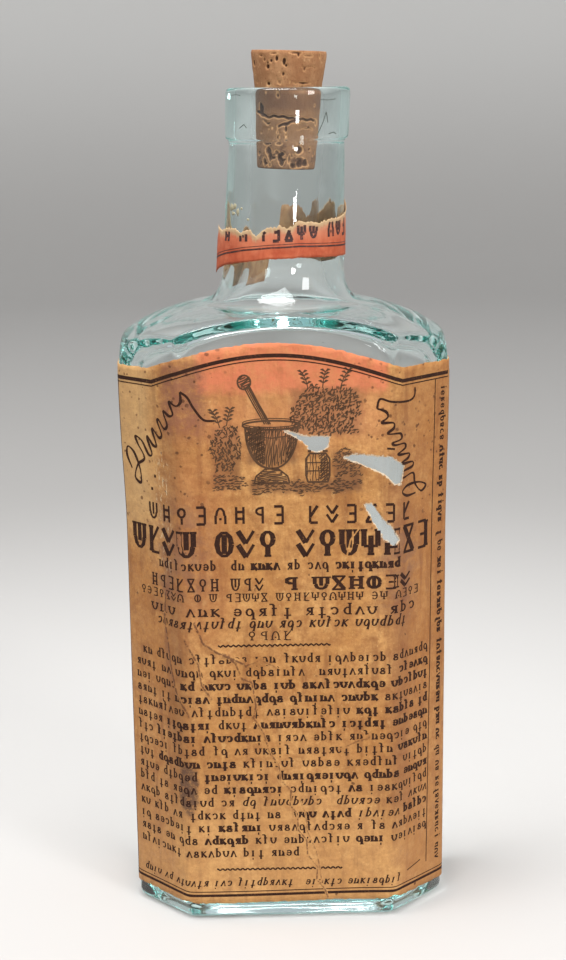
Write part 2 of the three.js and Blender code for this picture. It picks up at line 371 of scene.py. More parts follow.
def outer_rows(angles):
    """Rings from the middle of the underside, round the heel and up to the bore's mouth."""
    rows = []
    for scale in np.linspace(0.06, 0.97, 12):
        lift = KICK_UP + 0.7 * (1 - scale * scale)
        rows.append(glass_row(angles, FOOT_RING + RING_SLOPE, UNLIMITED, lift, scale))
    for share in np.linspace(0, 1, 5):
        lift = KICK_UP * (1 - smoothstep(0, 1, share))
        rows.append(glass_row(angles, FOOT_RING + RING_SLOPE * (1 - share), UNLIMITED, lift))
    rows.append(glass_row(angles, (HEEL + FOOT_RING) / 2, UNLIMITED, 0))
    for turn in np.linspace(0, math.pi / 2, 9):
        rows.append(glass_row(angles, HEEL * (1 - math.sin(turn)), UNLIMITED, HEEL * (1 - math.cos(turn))))
    for height in np.linspace(4, SHOULDER_START - 2, 58):
        rows.append(glass_row(angles, 0, UNLIMITED, height))
    return rows + [glass_row(angles, 0, limit, height) for limit, height in OUTER_PROFILE]


def inner_rows(angles):
    """Rings from the bore's mouth down the wall to the middle of the floor."""
    rows = [glass_row(angles, WALL, limit, height, inner=True) for limit, height in INNER_PROFILE[1:]]
    for height in np.linspace(111, 14.5, 50):
        wall = WALL + LOW_WALL_GAIN * (1 - smoothstep(12, 40, height))
        rows.append(glass_row(angles, wall, UNLIMITED, height, inner=True))
    for turn in np.linspace(math.pi / 2, 0, 11):
        inset = WALL + LOW_WALL_GAIN + FLOOR_FILLET * (1 - math.sin(turn))
        height = FLOOR + FLOOR_FILLET * (1 - math.cos(turn))
        rows.append(glass_row(angles, inset, UNLIMITED, height, inner=True))
    floor_inset = WALL + LOW_WALL_GAIN + FLOOR_FILLET
    for scale in np.linspace(0.94, 0.06, 12):
        swell = FLOOR + 0.8 * (1 - scale * scale)
        rows.append(glass_row(angles, floor_inset, UNLIMITED, swell, scale, inner=True))
    return rows


def glass_material():
    nodes = Nodes("aqua_glass")
    place = nodes.object_mm()
    fine = nodes.noise(place, 2.6, detail=2.0, stretch=(1, 1, 0.5))
    broad = nodes.noise(place, 9, detail=1.0)
    relief = nodes.math("ADD", nodes.math("MULTIPLY", broad, 2.2), nodes.math("MULTIPLY", fine, 0.5))
    grime = nodes.lumps(place, 5, 0.6, 0.78, detail=6.0, roughness=0.7, out=(0.0, 0.14))
    nodes.set(Base_Color=(1.0, 1.0, 1.0), Roughness=grime, Transmission_Weight=1.0, IOR=1.5)
    nodes.set(Normal=nodes.bump(relief, 0.22, 0.12))
    volume = nodes.node("ShaderNodeVolumeAbsorption", {"Color": (0.3, 0.89, 0.85), "Density": 17.0})
    nodes.tree.links.new(volume, nodes.output.inputs["Volume"])
    return nodes.material


def add_glass():
    columns = 216
    angles = ring_angles(columns)
    rows = outer_rows(angles) + inner_rows(angles)
    points = np.concatenate([[rows[0].mean(0)], *rows, [rows[-1].mean(0)]])
    faces = loft_faces(len(rows), columns)
    piece = add_piece("bottle_glass", points, faces, glass_material(), "bottle")
    piece.visible_shadow = False  # clear glass: light goes on to the cork, the papers and the floor behind it
    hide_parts("glass_bottle")


add_glass()

# ---- the label's paper ----

PAPER_GAP, PAPER_THICK = 0.06, 0.12
LABEL_LEFT, LABEL_RIGHT, LABEL_BOTTOM = -60.0, 56.0, 4.2
FRONT_CORNER = HALF_WIDTH - CHAMFER  # distance along the paper from the middle of the front
SIDE_CORNER = FRONT_CORNER + CHAMFER * math.sqrt(2)
CREASES = [  # height, half width, and the line as distances along the paper and heights
    (0.1, 0.24, [(-13.9, 62.7), (-11.6, 60.6), (-10.4, 57.2), (-8.2, 56.4), (-7.4, 51), (-7.9, 48.2),
                 (-5.9, 44.8), (-4.4, 39.6), (-2.6, 37.4), (-2.2, 33.6), (0.1, 31), (-0.2, 27.4), (1.4, 25.6),
                 (1.6, 21.4), (3.4, 19.2), (3.6, 15.6), (5.8, 12.4), (5.6, 9.6), (7.4, 7.2), (8.5, 4)]),
    (0.12, 0.3, [(-27.7, 76), (-28.3, 70.2), (-27.4, 65.2), (-26.4, 58.6), (-25.2, 54.2), (-22.3, 49.1)]),
    (0.12, 0.3, [(-20.5, 70), (-18.6, 65.4), (-16, 63.5), (-13, 62.2), (-9.5, 60.4)]),
    (0.08, 0.22, [(2, 28.6), (3.2, 25.6), (3.6, 21.2), (5.5, 16.5), (6.3, 12.6), (6.7, 9.2)]),
    (0.08, 0.22, [(11, 40.5), (14.5, 42.2), (17.5, 43)]),
    (0.1, 0.3, [(-22.6, 66), (-19.8, 60.6), (-19.2, 56), (-17, 52.6)]),
    (0.08, 0.24, [(-9.4, 60.2), (-6.2, 61.4), (-2.6, 59.6)]),
    (0.06, 0.2, [(15.8, 91.4), (13.4, 88.2), (12.6, 84.6)]),
]
TEARS = [
    [(-0.6, 112.3), (3.4, 110), (4.8, 108.2), (6.4, 107.5), (8.4, 108.4), (8.9, 110.7), (4, 110.8)],
    [(12, 106.2), (16.5, 104.5), (20.7, 102.4), (22.8, 100.3), (24.3, 100.1), (25.1, 103.8), (22, 106),
     (14.4, 106.8)],
    [(16.4, 95.9), (18.3, 92.3), (20.6, 88.3), (22.8, 86.7), (23.9, 87.8), (21.9, 91), (19.8, 93),
     (17.8, 96)],
]
PAPER_MOTTLES = [
    (1.7, 0.32, 0.7, 6, 0.75, None, 0.65, (154, 96, 48)),
    (5, 0.46, 0.66, 5, 0.7, None, 0.55, (150, 94, 46)),
    (3.4, 0.56, 0.7, 5, 0.7, (1, 0.7, 1.3), 0.5, (224, 176, 112)),
    (2.2, 0.5, 0.72, 4, 0.55, (1, 0.12, 1), 0.55, (130, 78, 40)),
    (0.7, 0.58, 0.7, 5, 0.7, None, 0.45, (230, 188, 124)),
    (0.55, 0.56, 0.68, 5, 0.75, None, 0.4, (118, 72, 38)),
]
SIDE_WASHES = [  # left, right, their softness, bottom, top, their softness, share, colour
    (-62, -30, 4, 88, 128, 8, 0.45, (212, 178, 126)),
    (25, 60, 3, -20, 150, 12, 0.45, (158, 98, 50)),
    (-62, -26, 3, -20, 84, 10, 0.3, (158, 100, 56)),
]
ENGRAVED_AREAS = [  # left, right, bottom, top of the paper's darker tone under the engraving
    (1, 15.4, 111.2, 121.2),
    (-15.8, -9.8, 99.8, 113),
    (9.8, 15.8, 99, 107.4),
    (-8, 15.4, 98.7, 101.3),
    (-8.4, 2, 105, 113),
]
FOLD_WASHES = [
    (-28, -21.5, 2.4, 26, 112, 10, 0.5, (130, 82, 46)),
    (-24, -12, 4, 66, 110, 9, 0.4, (160, 92, 48)),
    (21.5, 27.5, 2.2, 26, 112, 10, 0.5, (134, 80, 46)),
]


def arch(s, side, rise, centre, half_span):
    """Height of a line that runs level, arches over the front and runs level again."""
    across = np.clip((np.asarray(s, float) - centre) / half_span, -1, 1)
    return side + rise * np.cos(across * math.pi / 2)


def label_top(s):
    return arch(s, 125, 5.8, -3, 28)


def label_table():
    """Distance along the paper, angle round the bottle and outward direction, for one another."""
    angle = np.linspace(-1.95, 1.95, 3201) - math.pi / 2
    x, y = np.abs(np.cos(angle)), np.abs(np.sin(angle))
    chamfer_distance = (HALF_WIDTH + HALF_DEPTH - CHAMFER) / math.sqrt(2)
    sharp = 1 / np.maximum.reduce([x / HALF_WIDTH, y / HALF_DEPTH, (x + y) / math.sqrt(2) / chamfer_distance])
    steps = np.hypot(np.diff(sharp * np.cos(angle)), np.diff(sharp * np.sin(angle)))
    distance = np.concatenate([[0], np.cumsum(steps)])
    distance -= distance[len(distance) // 2]
    round_radius = section_radius(angle, 0, UNLIMITED, EDGE_SHARPNESS)
    along_x, along_y = np.gradient(round_radius * np.cos(angle)), np.gradient(round_radius * np.sin(angle))
    length = np.hypot(along_x, along_y)
    return distance, angle, along_y / length, -along_x / length


LABEL_TABLE = label_table()


def label_surface(s, z, off):
    """Points off millimetres outside the glass, at distances along the paper and heights."""
    distance, angle_of, out_x, out_y = LABEL_TABLE
    s, z = np.asarray(s, float), np.asarray(z, float)
    angle = np.interp(s, distance, angle_of)
    radius = section_radius(angle, 0, outer_limit(z), EDGE_SHARPNESS)
    x = splayed(radius * np.cos(angle), z) + off * np.interp(s, distance, out_x)
    y = radius * np.sin(angle) + off * np.interp(s, distance, out_y)
    return np.stack([x, y, z], -1)


def distance_to_path(path, s, z):
    """Distance from points to the nearest stretch of a path."""
    best = np.full(np.shape(s), 1e9)
    for (s0, z0), (s1, z1) in zip(path[:-1], path[1:]):
        ds, dz = s1 - s0, z1 - z0
        share = np.clip(((s - s0) * ds + (z - z0) * dz) / (ds * ds + dz * dz), 0, 1)
        best = np.minimum(best, np.hypot(s - s0 - share * ds, z - z0 - share * dz))
    return best


def inside(polygon, s, z):
    """True for the points within a polygon."""
    s, z = np.asarray(s, float), np.asarray(z, float)
    result = np.zeros(s.shape, bool)
    for (s0, z0), (s1, z1) in zip(polygon, polygon[1:] + polygon[:1]):
        if z0 != z1:
            crosses = ((z0 > z) != (z1 > z)) & (s < (s1 - s0) * (z - z0) / (z1 - z0) + s0)
            result ^= crosses
    return result


def tear_distance(s, z):
    return np.minimum.reduce([distance_to_path(tear + tear[:1], s, z) for tear in TEARS])


def paper_lift(s, z):
    """How far the paper stands off the flat, from cockling and round the tears."""
    lift = 0.045 * (1 + ripple(s, z * 0.6, 0, 15, 21)) + 0.016 * (1 + ripple(s, z, 0, 6, 22))
    cockled = np.exp(-(((s + 20) / 9) ** 2) - ((z - 60) / 14) ** 2)
    lift = lift + 0.09 * cockled * (1 + ripple(s * 1.2 + z * 0.5, z * 0.7, 0, 5.5, 23))
    return lift + 0.1 * np.exp(-((tear_distance(s, z) / 0.9) ** 2))


def ridge(path, half_width, s, z):
    """1 along a path, fading to 0 on both sides of it."""
    return np.exp(-((distance_to_path(path, s, z) / half_width) ** 2))


def crease_lift(s, z):
    return sum(height * ridge(path, half_width, s, z) for height, half_width, path in CREASES)


def subdivided(path, step):
    """The path with points no further apart than step."""
    made = []
    for (s0, z0), (s1, z1) in zip(path[:-1], path[1:]):
        count = max(1, math.ceil(math.hypot(s1 - s0, z1 - z0) / step))
        made += [(s0 + (s1 - s0) * i / count, z0 + (z1 - z0) * i / count) for i in range(count)]
    return made + [path[-1]]


def ragged(path, step, amount, draw):
    """A torn version of a closed outline, without repeating its first point."""
    points = subdivided(path + path[:1], step)[:-1]
    jitter = [draw.gauss(0, amount) for _ in points]
    return [
        (s + (jitter[i] + jitter[i - 1]) / 2, z + (jitter[i - 1] + jitter[i - 2]) / 2)
        for i, (s, z) in enumerate(points)
    ]


def label_outline(draw):
    """The cut edge of the paper, anticlockwise from its bottom left, a little worn."""
    across = np.arange(LABEL_LEFT, LABEL_RIGHT, 0.8)
    outline = []
    for s in across:
        corner_wear = 0.5 * math.exp(-(((abs(s) - FRONT_CORNER) / 1.1) ** 2))
        sag = 0.25 * math.sin(s / 9.0) + abs(draw.gauss(0, 0.13))
        outline.append((s, LABEL_BOTTOM + sag + corner_wear))
    outline += [(LABEL_RIGHT + draw.gauss(0, 0.06), z) for z in np.arange(LABEL_BOTTOM, 124.5, 0.9)]
    outline += [(s, float(label_top(s)) + draw.gauss(0, 0.07)) for s in across[::-1] + 0.8]
    outline += [(LABEL_LEFT + draw.gauss(0, 0.06), z) for z in np.arange(124.2, LABEL_BOTTOM + 0.6, -0.9)]
    return outline


def label_inner_points(draw):
    """Points within the sheet, closer together along its folds and creases and round its tears."""
    points = []
    for s in np.arange(LABEL_LEFT + 1, LABEL_RIGHT, 1.5):
        for z in np.arange(5.4, 130.6, 1.5):
            points.append((s + draw.uniform(-0.3, 0.3), z + draw.uniform(-0.3, 0.3)))
    for corner in (-SIDE_CORNER, -FRONT_CORNER, FRONT_CORNER, SIDE_CORNER):
        for step in (-1.3, -0.8, -0.4, 0, 0.4, 0.8, 1.3):
            points += [(corner + step, z + 0.3 * step) for z in np.arange(5.4, 128.5, 1.5)]
    for _, width, path in CREASES:
        for s, z in subdivided(path, 0.7):
            points += [(s + width * step, z) for step in (-2, -1, -0.4, 0.4, 1, 2)]
    for tear in TEARS:
        centre = np.mean(tear, 0)
        for grow in (0.4, 0.9, 1.6):
            for s, z in subdivided(tear + tear[:1], 0.6)[:-1]:
                away = Vector((s - centre[0], z - centre[1])).normalized() * grow
                points.append((s + away.x, z + away.y))
    return np.array(points)


def on_paper(points, outline, holes):
    """True for the points within the outline and outside the holes."""
    kept = inside(outline, points[:, 0], points[:, 1])
    for hole in holes:
        kept &= ~inside(hole, points[:, 0], points[:, 1])
    return kept


def label_mesh(draw):
    """(points on the flat sheet, triangles)."""
    outline = label_outline(draw)
    holes = [ragged(tear, 0.35, 0.13, draw) for tear in TEARS]
    inner = label_inner_points(draw)
    inner = inner[on_paper(inner, outline, holes)]
    for loop, gap in [(outline, 0.35)] + [(hole, 0.15) for hole in holes]:
        inner = inner[distance_to_path(loop + loop[:1], inner[:, 0], inner[:, 1]) > gap]
    points, edges = [], []
    for loop in (outline, *holes):
        numbers = list(range(len(points), len(points) + len(loop)))
        edges += zip(numbers, numbers[1:] + numbers[:1])
        points += loop
    points += inner.tolist()
    found = delaunay_2d_cdt([Vector(p) for p in points], edges, [], 0, 1e-4, True)
    flat = np.array([tuple(p) for p in found[0]])
    triangles = np.array(found[2])
    return flat, triangles[on_paper(flat[triangles].mean(1), outline, holes)]


def boundary_edges(triangles):
    """Directed edges that belong to one triangle only."""
    directed = {(t[i], t[(i + 1) % 3]) for t in triangles.tolist() for i in range(3)}
    return [(a, b) for a, b in directed if (b, a) not in directed]


class LabelNodes(Nodes):
    """A material on the label, with the flat sheet's own coordinates and soft-edged areas of the sheet."""

    def __init__(self, name):
        super().__init__(name)
        self.s, self.z, self.tear = self.split(self.attribute("sheet"))
        self.place = self.node("ShaderNodeCombineXYZ", {0: self.s, 1: self.z})
        self.drifted = self.drift(5, 4.0, 5.0)
        self.drifted_finely = self.drift(0.9, 1.2, 1.6)

    def drift(self, size, reach_s, reach_z):
        """The sheet's coordinates, moved by noise by up to half of each reach either way."""
        moves = self.split(self.noise(self.place, size, detail=3, output=1))
        s = self.math("MULTIPLY_ADD", moves[0], reach_s, self.math("SUBTRACT", self.s, reach_s / 2))
        z = self.math("MULTIPLY_ADD", moves[1], reach_z, self.math("SUBTRACT", self.z, reach_z / 2))
        return s, z

    def area(self, left, right, side_softness, bottom, top, level_softness, fine=False):
        s, z = self.drifted_finely if fine else self.drifted
        across = self.span(s, left, right, side_softness)
        return self.math("MULTIPLY", across, self.span(z, bottom, top, level_softness))

    def washed(self, colour, washes):
        for *edges, share, tone in washes:
            colour = self.tint(colour, share, self.area(*edges), tone)
        return colour


def mottled_ground(nodes):
    broad = nodes.lumps(nodes.place, 16, 0.35, 0.65, stretch=(1, 0.6, 1))
    colour = nodes.mix(broad, srgb(192, 136, 74), srgb(216, 162, 98))
    colour = nodes.mottled(colour, nodes.place, PAPER_MOTTLES)
    return nodes.tint(colour, 0.25, nodes.between(nodes.drifted[1], 48, 8), (220, 174, 116))


def red_headed(nodes, colour):
    """The red-orange head, faded and bruised, with the tone that lies under the engraving."""
    faded = nodes.lumps(nodes.place, 2.6, 0.3, 0.75, detail=6, roughness=0.7, out=(0.95, 0.5))
    head = nodes.area(-18.6, 21.2, 1.0, 120.4, 140, 1.3, fine=True)
    colour = nodes.tint(colour, faded, head, (218, 122, 84))
    for left, right, bottom, top in ENGRAVED_AREAS:
        engraved = nodes.area(left, right, 0.9, bottom, top, 0.9, fine=True)
        colour = nodes.tint(colour, 0.75, engraved, (126, 82, 48))
    colour = nodes.tint(colour, 0.3, nodes.area(-17, 21, 2.5, 110, 121, 5), (214, 136, 94))
    bruise = nodes.lumps(nodes.place, 1.6, 0.36, 0.56, detail=6, roughness=0.75, out=(0.3, 0.85))
    return nodes.tint(colour, bruise, nodes.area(-27, -17, 1.6, 111, 127, 3, fine=True), (144, 92, 68))


def stained(nodes, colour):
    """Purple stains on both folds, and one dark blot on the left one."""
    soft = nodes.lumps(nodes.place, 3.2, 0.38, 0.6, detail=6, roughness=0.7)
    purple = nodes.math("MAXIMUM", nodes.area(-31, -17, 3, 74, 96, 5), nodes.area(18, 30, 3, 72, 92, 5))
    colour = nodes.tint(colour, 0.45, nodes.math("MULTIPLY", purple, soft), (118, 82, 70))
    blotch = nodes.lumps(nodes.place, 1.3, 0.36, 0.52, detail=6, roughness=0.8)
    from_blot = nodes.vector("SUBTRACT", nodes.place, (-22.6, 31.5, 0))
    away = nodes.length(nodes.vector("MULTIPLY", from_blot, (0.42, 0.155, 1)))
    edge = nodes.waver(nodes.place, 2.2, 1.5, detail=6, roughness=0.75)
    blot = nodes.between(nodes.math("ADD", away, edge), 0.75, 1.15, 1.0, 0.0)
    return nodes.tint(colour, 0.8, nodes.math("MULTIPLY", blot, blotch), (78, 56, 46))


def foxed(nodes, colour):
    """Brown spots: small ones crowded on both sides of the head, and a few large ones anywhere."""
    left_of_head, right_of_head = nodes.area(-60, -13, 6, 84, 140, 6), nodes.area(14, 60, 5, 90, 140, 8)
    beside_head = nodes.math("MAXIMUM", left_of_head, right_of_head)
    for size, reach, everywhere in ((1.7, 0.17, 0.0), (2.9, 0.14, 0.0), (5.2, 0.06, 1.0)):
        wobble = nodes.waver(nodes.place, size * 0.22, 0.3, detail=4, roughness=0.7)
        away = nodes.math("ADD", nodes.cells(nodes.place, size), wobble)
        spot = nodes.between(away, reach * 1.25, reach * 0.75)
        chosen = nodes.math("MULTIPLY", spot, nodes.lumps(nodes.place, size * 1.7, 0.46, 0.54))
        shown = nodes.math("MULTIPLY", chosen, nodes.math("MAXIMUM", beside_head, everywhere))
        colour = nodes.tint(colour, 0.75, shown, (80, 42, 20))
    return colour


def creased_and_scuffed(nodes, colour):
    """Dirt and painted shade in the creases, scuffs down the left fold, and pale fibres round the tears."""
    # the creases are darkened: partly dirt, partly painted shade
    uneven = nodes.lumps(nodes.place, 0.8, 0.3, 0.6, detail=4, out=(0.35, 1.0))
    crease = nodes.math("MULTIPLY", nodes.attribute("crease", output="Fac"), uneven)
    colour = nodes.mix(nodes.between(crease, 0.3, 0.85, 0.0, 0.8), colour, srgb(86, 48, 28))
    flakes = nodes.lumps(nodes.place, 0.8, 0.54, 0.62, detail=5, roughness=0.75, stretch=(1.5, 0.4, 1))
    scuff = nodes.math("MULTIPLY", nodes.area(-29.4, -25.8, 1.2, 82, 106, 6), flakes)
    colour = nodes.tint(colour, 0.75, scuff, (224, 204, 166))
    from_tear = nodes.math("ADD", nodes.tear, nodes.waver(nodes.place, 0.5, 1.1, detail=4))
    return nodes.tint(colour, 0.85, nodes.between(from_tear, 0.1, 0.4, 1.0, 0.0), (222, 206, 180))


def paper_colour(nodes):
    """The aged sheet's colour, for the sheet itself and where the ink has worn off."""
    colour = nodes.washed(mottled_ground(nodes), SIDE_WASHES)
    colour = nodes.washed(red_headed(nodes, colour), FOLD_WASHES)
    return creased_and_scuffed(nodes, foxed(nodes, stained(nodes, colour)))


def paper_material():
    nodes = LabelNodes("aged_paper")
    place = nodes.place
    back = nodes.between(nodes.attribute("back", output="Fac"), 0.4, 0.9)
    back_tone = nodes.mix(nodes.noise(place, 7, detail=5), srgb(170, 128, 88), srgb(206, 166, 122))
    grain = nodes.noise(place, 0.28, detail=5, roughness=0.65)
    wrinkle = nodes.noise(place, 2.4, detail=5, roughness=0.6, stretch=(1, 0.7, 1))
    rumple = nodes.noise(place, 6.5, detail=3, roughness=0.5, stretch=(1.3, 0.8, 1))
    height = nodes.math("MULTIPLY_ADD", wrinkle, 1.6, nodes.math("MULTIPLY", grain, 0.35))
    height = nodes.math("MULTIPLY_ADD", rumple, 3.2, height)
    nodes.set(
        Base_Color=nodes.mix(back, paper_colour(nodes), back_tone),
        Roughness=nodes.lumps(place, 6, 0.3, 0.7, detail=4, out=(0.5, 0.72)),
        Normal=nodes.bump(height, 0.9, 0.26),
        Specular_IOR_Level=0.35,
    )
    return nodes.material


def add_label():
    draw = random.Random(41)
    flat, triangles = label_mesh(draw)
    s, z = flat[:, 0], flat[:, 1]
    lift = paper_lift(s, z) + crease_lift(s, z)
    outside = label_surface(s, z, PAPER_GAP + PAPER_THICK + lift)
    inner_side = label_surface(s, z, PAPER_GAP + lift * 0.8)
    count = len(flat)
    faces = [tuple(t) for t in triangles.tolist()]
    faces += [(a + count, c + count, b + count) for a, b, c in faces]
    faces += [(b, a, a + count, b + count) for a, b in boundary_edges(triangles)]
    sheet = np.stack([s, z, tear_distance(s, z)], -1)
    crease = crease_lift(s, z) / CREASES[0][0]
    both_sides = {"sheet": np.concatenate([sheet, sheet]), "crease": np.concatenate([crease, crease])}
    weights = {**both_sides, "back": np.repeat([0.0, 1.0], count)}
    points, material = np.concatenate([outside, inner_side]), paper_material()
    piece = add_piece("label_paper", points, faces, material, "bottle", weights=weights)
    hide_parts("body_label")


add_label()

# ---- print ----

INK_TOP, INK_FOOT = 0.03, -0.02  # of a stroke, over the surface it lies on
FINE_STEP, COARSE_STEP = 0.35, 1.5  # between the points of a stroke, near folds and tears and elsewhere
NEAR_FOLD = 2.2
BARE_EDGE, SEAL_BARE_EDGE = 0.22, 0.55  # the ink has gone this close to a torn edge


def anywhere(u, v):
    return True


class Ink:
    """Strokes of ink as thin raised ribbons on a sheet, given as distances across it and heights."""

    def __init__(self, surface, draw=None, fine_near=anywhere, allowed=anywhere):
        self.surface, self.draw, self.fine_near, self.allowed = surface, draw, fine_near, allowed
        self.flat, self.faces = [], []

    def stroke(self, path, width):
        """A stroke along a path. width is one number, or a list of one for each point of the path."""
        widths = width if isinstance(width, list) else [width] * len(path)
        stations = []
        for (u0, v0), (u1, v1), w0, w1 in zip(path[:-1], path[1:], widths[:-1], widths[1:]):
            step = FINE_STEP if self.fine_near(u0, v0) or self.fine_near(u1, v1) else COARSE_STEP
            count = max(1, math.ceil(math.hypot(u1 - u0, v1 - v0) / step))
            for i in range(count):
                share = i / count
                stations.append((u0 + (u1 - u0) * share, v0 + (v1 - v0) * share, w0 + (w1 - w0) * share))
        stations.append((*path[-1], widths[-1]))
        for shown, run in groupby(stations, lambda station: self.allowed(station[0], station[1])):
            if shown:
                self.ribbon(list(run))

    def ribbon(self, run):
        if len(run) < 2:
            return
        base = 2 * len(self.flat)
        for i, (u, v, width) in enumerate(run):
            before, after = run[max(0, i - 1)], run[min(len(run) - 1, i + 1)]
            du, dv = after[0] - before[0], after[1] - before[1]
            length = math.hypot(du, dv) or 1.0
            side_u, side_v = -dv / length * width / 2, du / length * width / 2
            self.flat += [(u + side_u, v + side_v), (u - side_u, v - side_v)]
        for i in range(len(run) - 1):
            a, b = base + 4 * i, base + 4 * (i + 1)
            for j in range(4):
                k = (j + 1) % 4
                self.faces.append((a + j, a + k, b + k, b + j))
        end = base + 4 * (len(run) - 1)
        self.faces += [(base + 3, base + 2, base + 1, base), (end, end + 1, end + 2, end + 3)]

    def piece(self, name, material, slot):
        flat = np.array(self.flat)
        left, right = flat[0::2], flat[1::2]
        corners = [(left, INK_FOOT), (left, INK_TOP), (right, INK_TOP), (right, INK_FOOT)]
        points = np.stack([self.surface(side[:, 0], side[:, 1], off) for side, off in corners], 1)
        across = np.stack([side for side, _ in corners], 1).reshape(-1, 2)
        far_from_tears = np.full((len(across), 1), 9.0)
        sheet = np.concatenate([across, far_from_tears], 1)
        points, weights = points.reshape(-1, 3), {"sheet": sheet}
        add_piece(name, points, self.faces, material, "bottle", smooth=False, weights=weights)


# The marks are made-up signs on a unit square. A stem is x, low, high, and whether it has a serif at its foot
# and head. A bar is left, right, y. A leg or a thin is a thick or a thin line between two points. A bow is
# its middle, its two radii, and where it starts and ends in degrees. A dot is its middle.
CAPITALS = [
    [("stem", 0.1, 0.35, 1, 0, 1), ("stem", 0.9, 0.35, 1, 0, 1), ("bar", 0.1, 0.9, 0.35),
     ("stem", 0.5, 0, 0.75, 1, 0)],
    [("bow", 0.5, 0.5, 0.4, 0.5, 0, 180), ("stem", 0.1, 0, 0.5, 1, 0), ("stem", 0.9, 0, 0.5, 1, 0),
     ("dot", 0.5, 0.3)],
    [("bow", 0.42, 0.5, 0.42, 0.5, -140, 140), ("bar", 0.05, 0.84, 0.5)],
    [("leg", 0.12, 1, 0.88, 0), ("thin", 0.12, 0, 0.88, 1), ("bar", 0.05, 0.95, 1), ("bar", 0.05, 0.95, 0)],
    [("stem", 0.2, 0, 1, 1, 1), ("stem", 0.8, 0, 1, 1, 1), ("bar", 0.2, 0.8, 0.3), ("bar", 0.2, 0.8, 0.7)],
    [("bow", 0.5, 0.68, 0.36, 0.32, 0, 360), ("stem", 0.5, 0, 0.36, 1, 0)],
    [("leg", 0.05, 1, 0.5, 0.52), ("thin", 0.5, 0.52, 0.95, 1), ("leg", 0.05, 0.48, 0.5, 0),
     ("thin", 0.5, 0, 0.95, 0.48)],
    [("stem", 0.78, 0, 1, 1, 1), ("bow", 0.72, 0.72, 0.55, 0.28, 90, 270)],
    [("bow", 0.5, 0.42, 0.42, 0.42, 180, 360), ("stem", 0.08, 0.42, 1, 0, 1), ("stem", 0.92, 0.42, 1, 0, 1),
     ("stem", 0.5, 0.3, 1, 0, 1)],
    [("stem", 0.82, 0, 1, 1, 1), ("bar", 0.12, 0.82, 1), ("bar", 0.3, 0.82, 0.5), ("bar", 0.12, 0.82, 0)],
    [("bow", 0.5, 0.5, 0.46, 0.5, 0, 360), ("stem", 0.5, 0.14, 0.86, 0, 0)],
    [("stem", 0.28, 0, 1, 1, 1), ("thin", 0.28, 0.35, 0.9, 1), ("bar", 0.28, 0.92, 0)],
]
SMALLS = [
    [("stem", 0.14, 0, 1, 1, 1), ("bow", 0.42, 0.5, 0.36, 0.48, -100, 60), ("stem", 0.76, 0, 0.55, 1, 0)],
    [("bow", 0.45, 0.5, 0.4, 0.5, -160, 150), ("bar", 0.08, 0.82, 0.52)],
    [("bow", 0.4, 0.5, 0.4, 0.5, -130, 130), ("dot", 0.12, 0.8)],
    [("stem", 0.4, -0.45, 1, 0, 1), ("bar", 0.05, 0.8, 0.04)],
    [("bow", 0.42, 0.74, 0.3, 0.26, 0, 360), ("bow", 0.42, 0.25, 0.4, 0.27, 0, 360)],
    [("stem", 0.16, 0, 1, 1, 1), ("thin", 0.2, 0.5, 0.8, 1), ("leg", 0.3, 0.55, 0.86, 0)],
    [("bow", 0.42, 0.45, 0.36, 0.45, 180, 360), ("stem", 0.06, 0.45, 1, 0, 1), ("stem", 0.78, 0.45, 1, 0, 1)],
    [("stem", 0.66, 0, 1, 1, 1), ("bow", 0.62, 0.7, 0.48, 0.3, 90, 270), ("thin", 0.5, 0.42, 0.1, 0)],
    [("stem", 0.3, 0, 1.4, 1, 0), ("bow", 0.02, 1.35, 0.3, 0.2, 0, 130), ("bar", 0.1, 0.62, 0.95)],
    [("bow", 0.4, 0.5, 0.38, 0.5, 0, 360), ("stem", 0.78, -0.45, 0.5, 1, 0)],
    [("stem", 0.15, 0, 1.5, 1, 1), ("bow", 0.3, 0.5, 0.46, 0.5, -110, 110)],
    [("stem", 0.3, 0, 1, 1, 1), ("dot", 0.3, -0.4)],
    [("leg", 0.08, 0, 0.46, 1), ("thin", 0.46, 1, 0.84, 0), ("bar", -0.05, 0.2, 0.04),
     ("bar", 0.68, 0.95, 0.04)],
    [("stem", 0.7, 0, 1.5, 1, 1), ("bow", 0.52, 0.5, 0.44, 0.5, 70, 290)],
]


# stem and hair are stroke widths, as shares of a mark's height. fill is the share of its place that it takes.
Style = namedtuple("Style", "stem hair serif slant fill marks", defaults=(0.2, 0.0, 0.8, SMALLS))
ROMAN = Style(0.28, 0.13, fill=0.84)
BOLD = Style(0.42, 0.16, serif=0.28, fill=0.92)
ITALIC = Style(0.26, 0.12, slant=0.25, fill=0.84)
SMALL_CAPITALS = Style(0.17, 0.09, marks=CAPITALS, fill=0.78)
THIN_SANS = Style(0.14, 0.13, serif=0, fill=0.62, marks=CAPITALS)
SEAL_SANS = Style(0.17, 0.15, serif=0, fill=0.66, marks=CAPITALS)
HEAVY = Style(0.2, 0.085, fill=0.8, marks=CAPITALS)
SHADED = Style(0.3, 0.12, serif=0.22, fill=0.86, marks=CAPITALS)
WIDE = Style(0.28, 0.13, serif=0.22, fill=0.78)
PLAIN = Style(0.15, 0.09, fill=0.7, marks=CAPITALS)
WORD_GAP = 0.75  # as a share of a mark's place
SKIPPED = 0.012  # the share of marks that didn't print


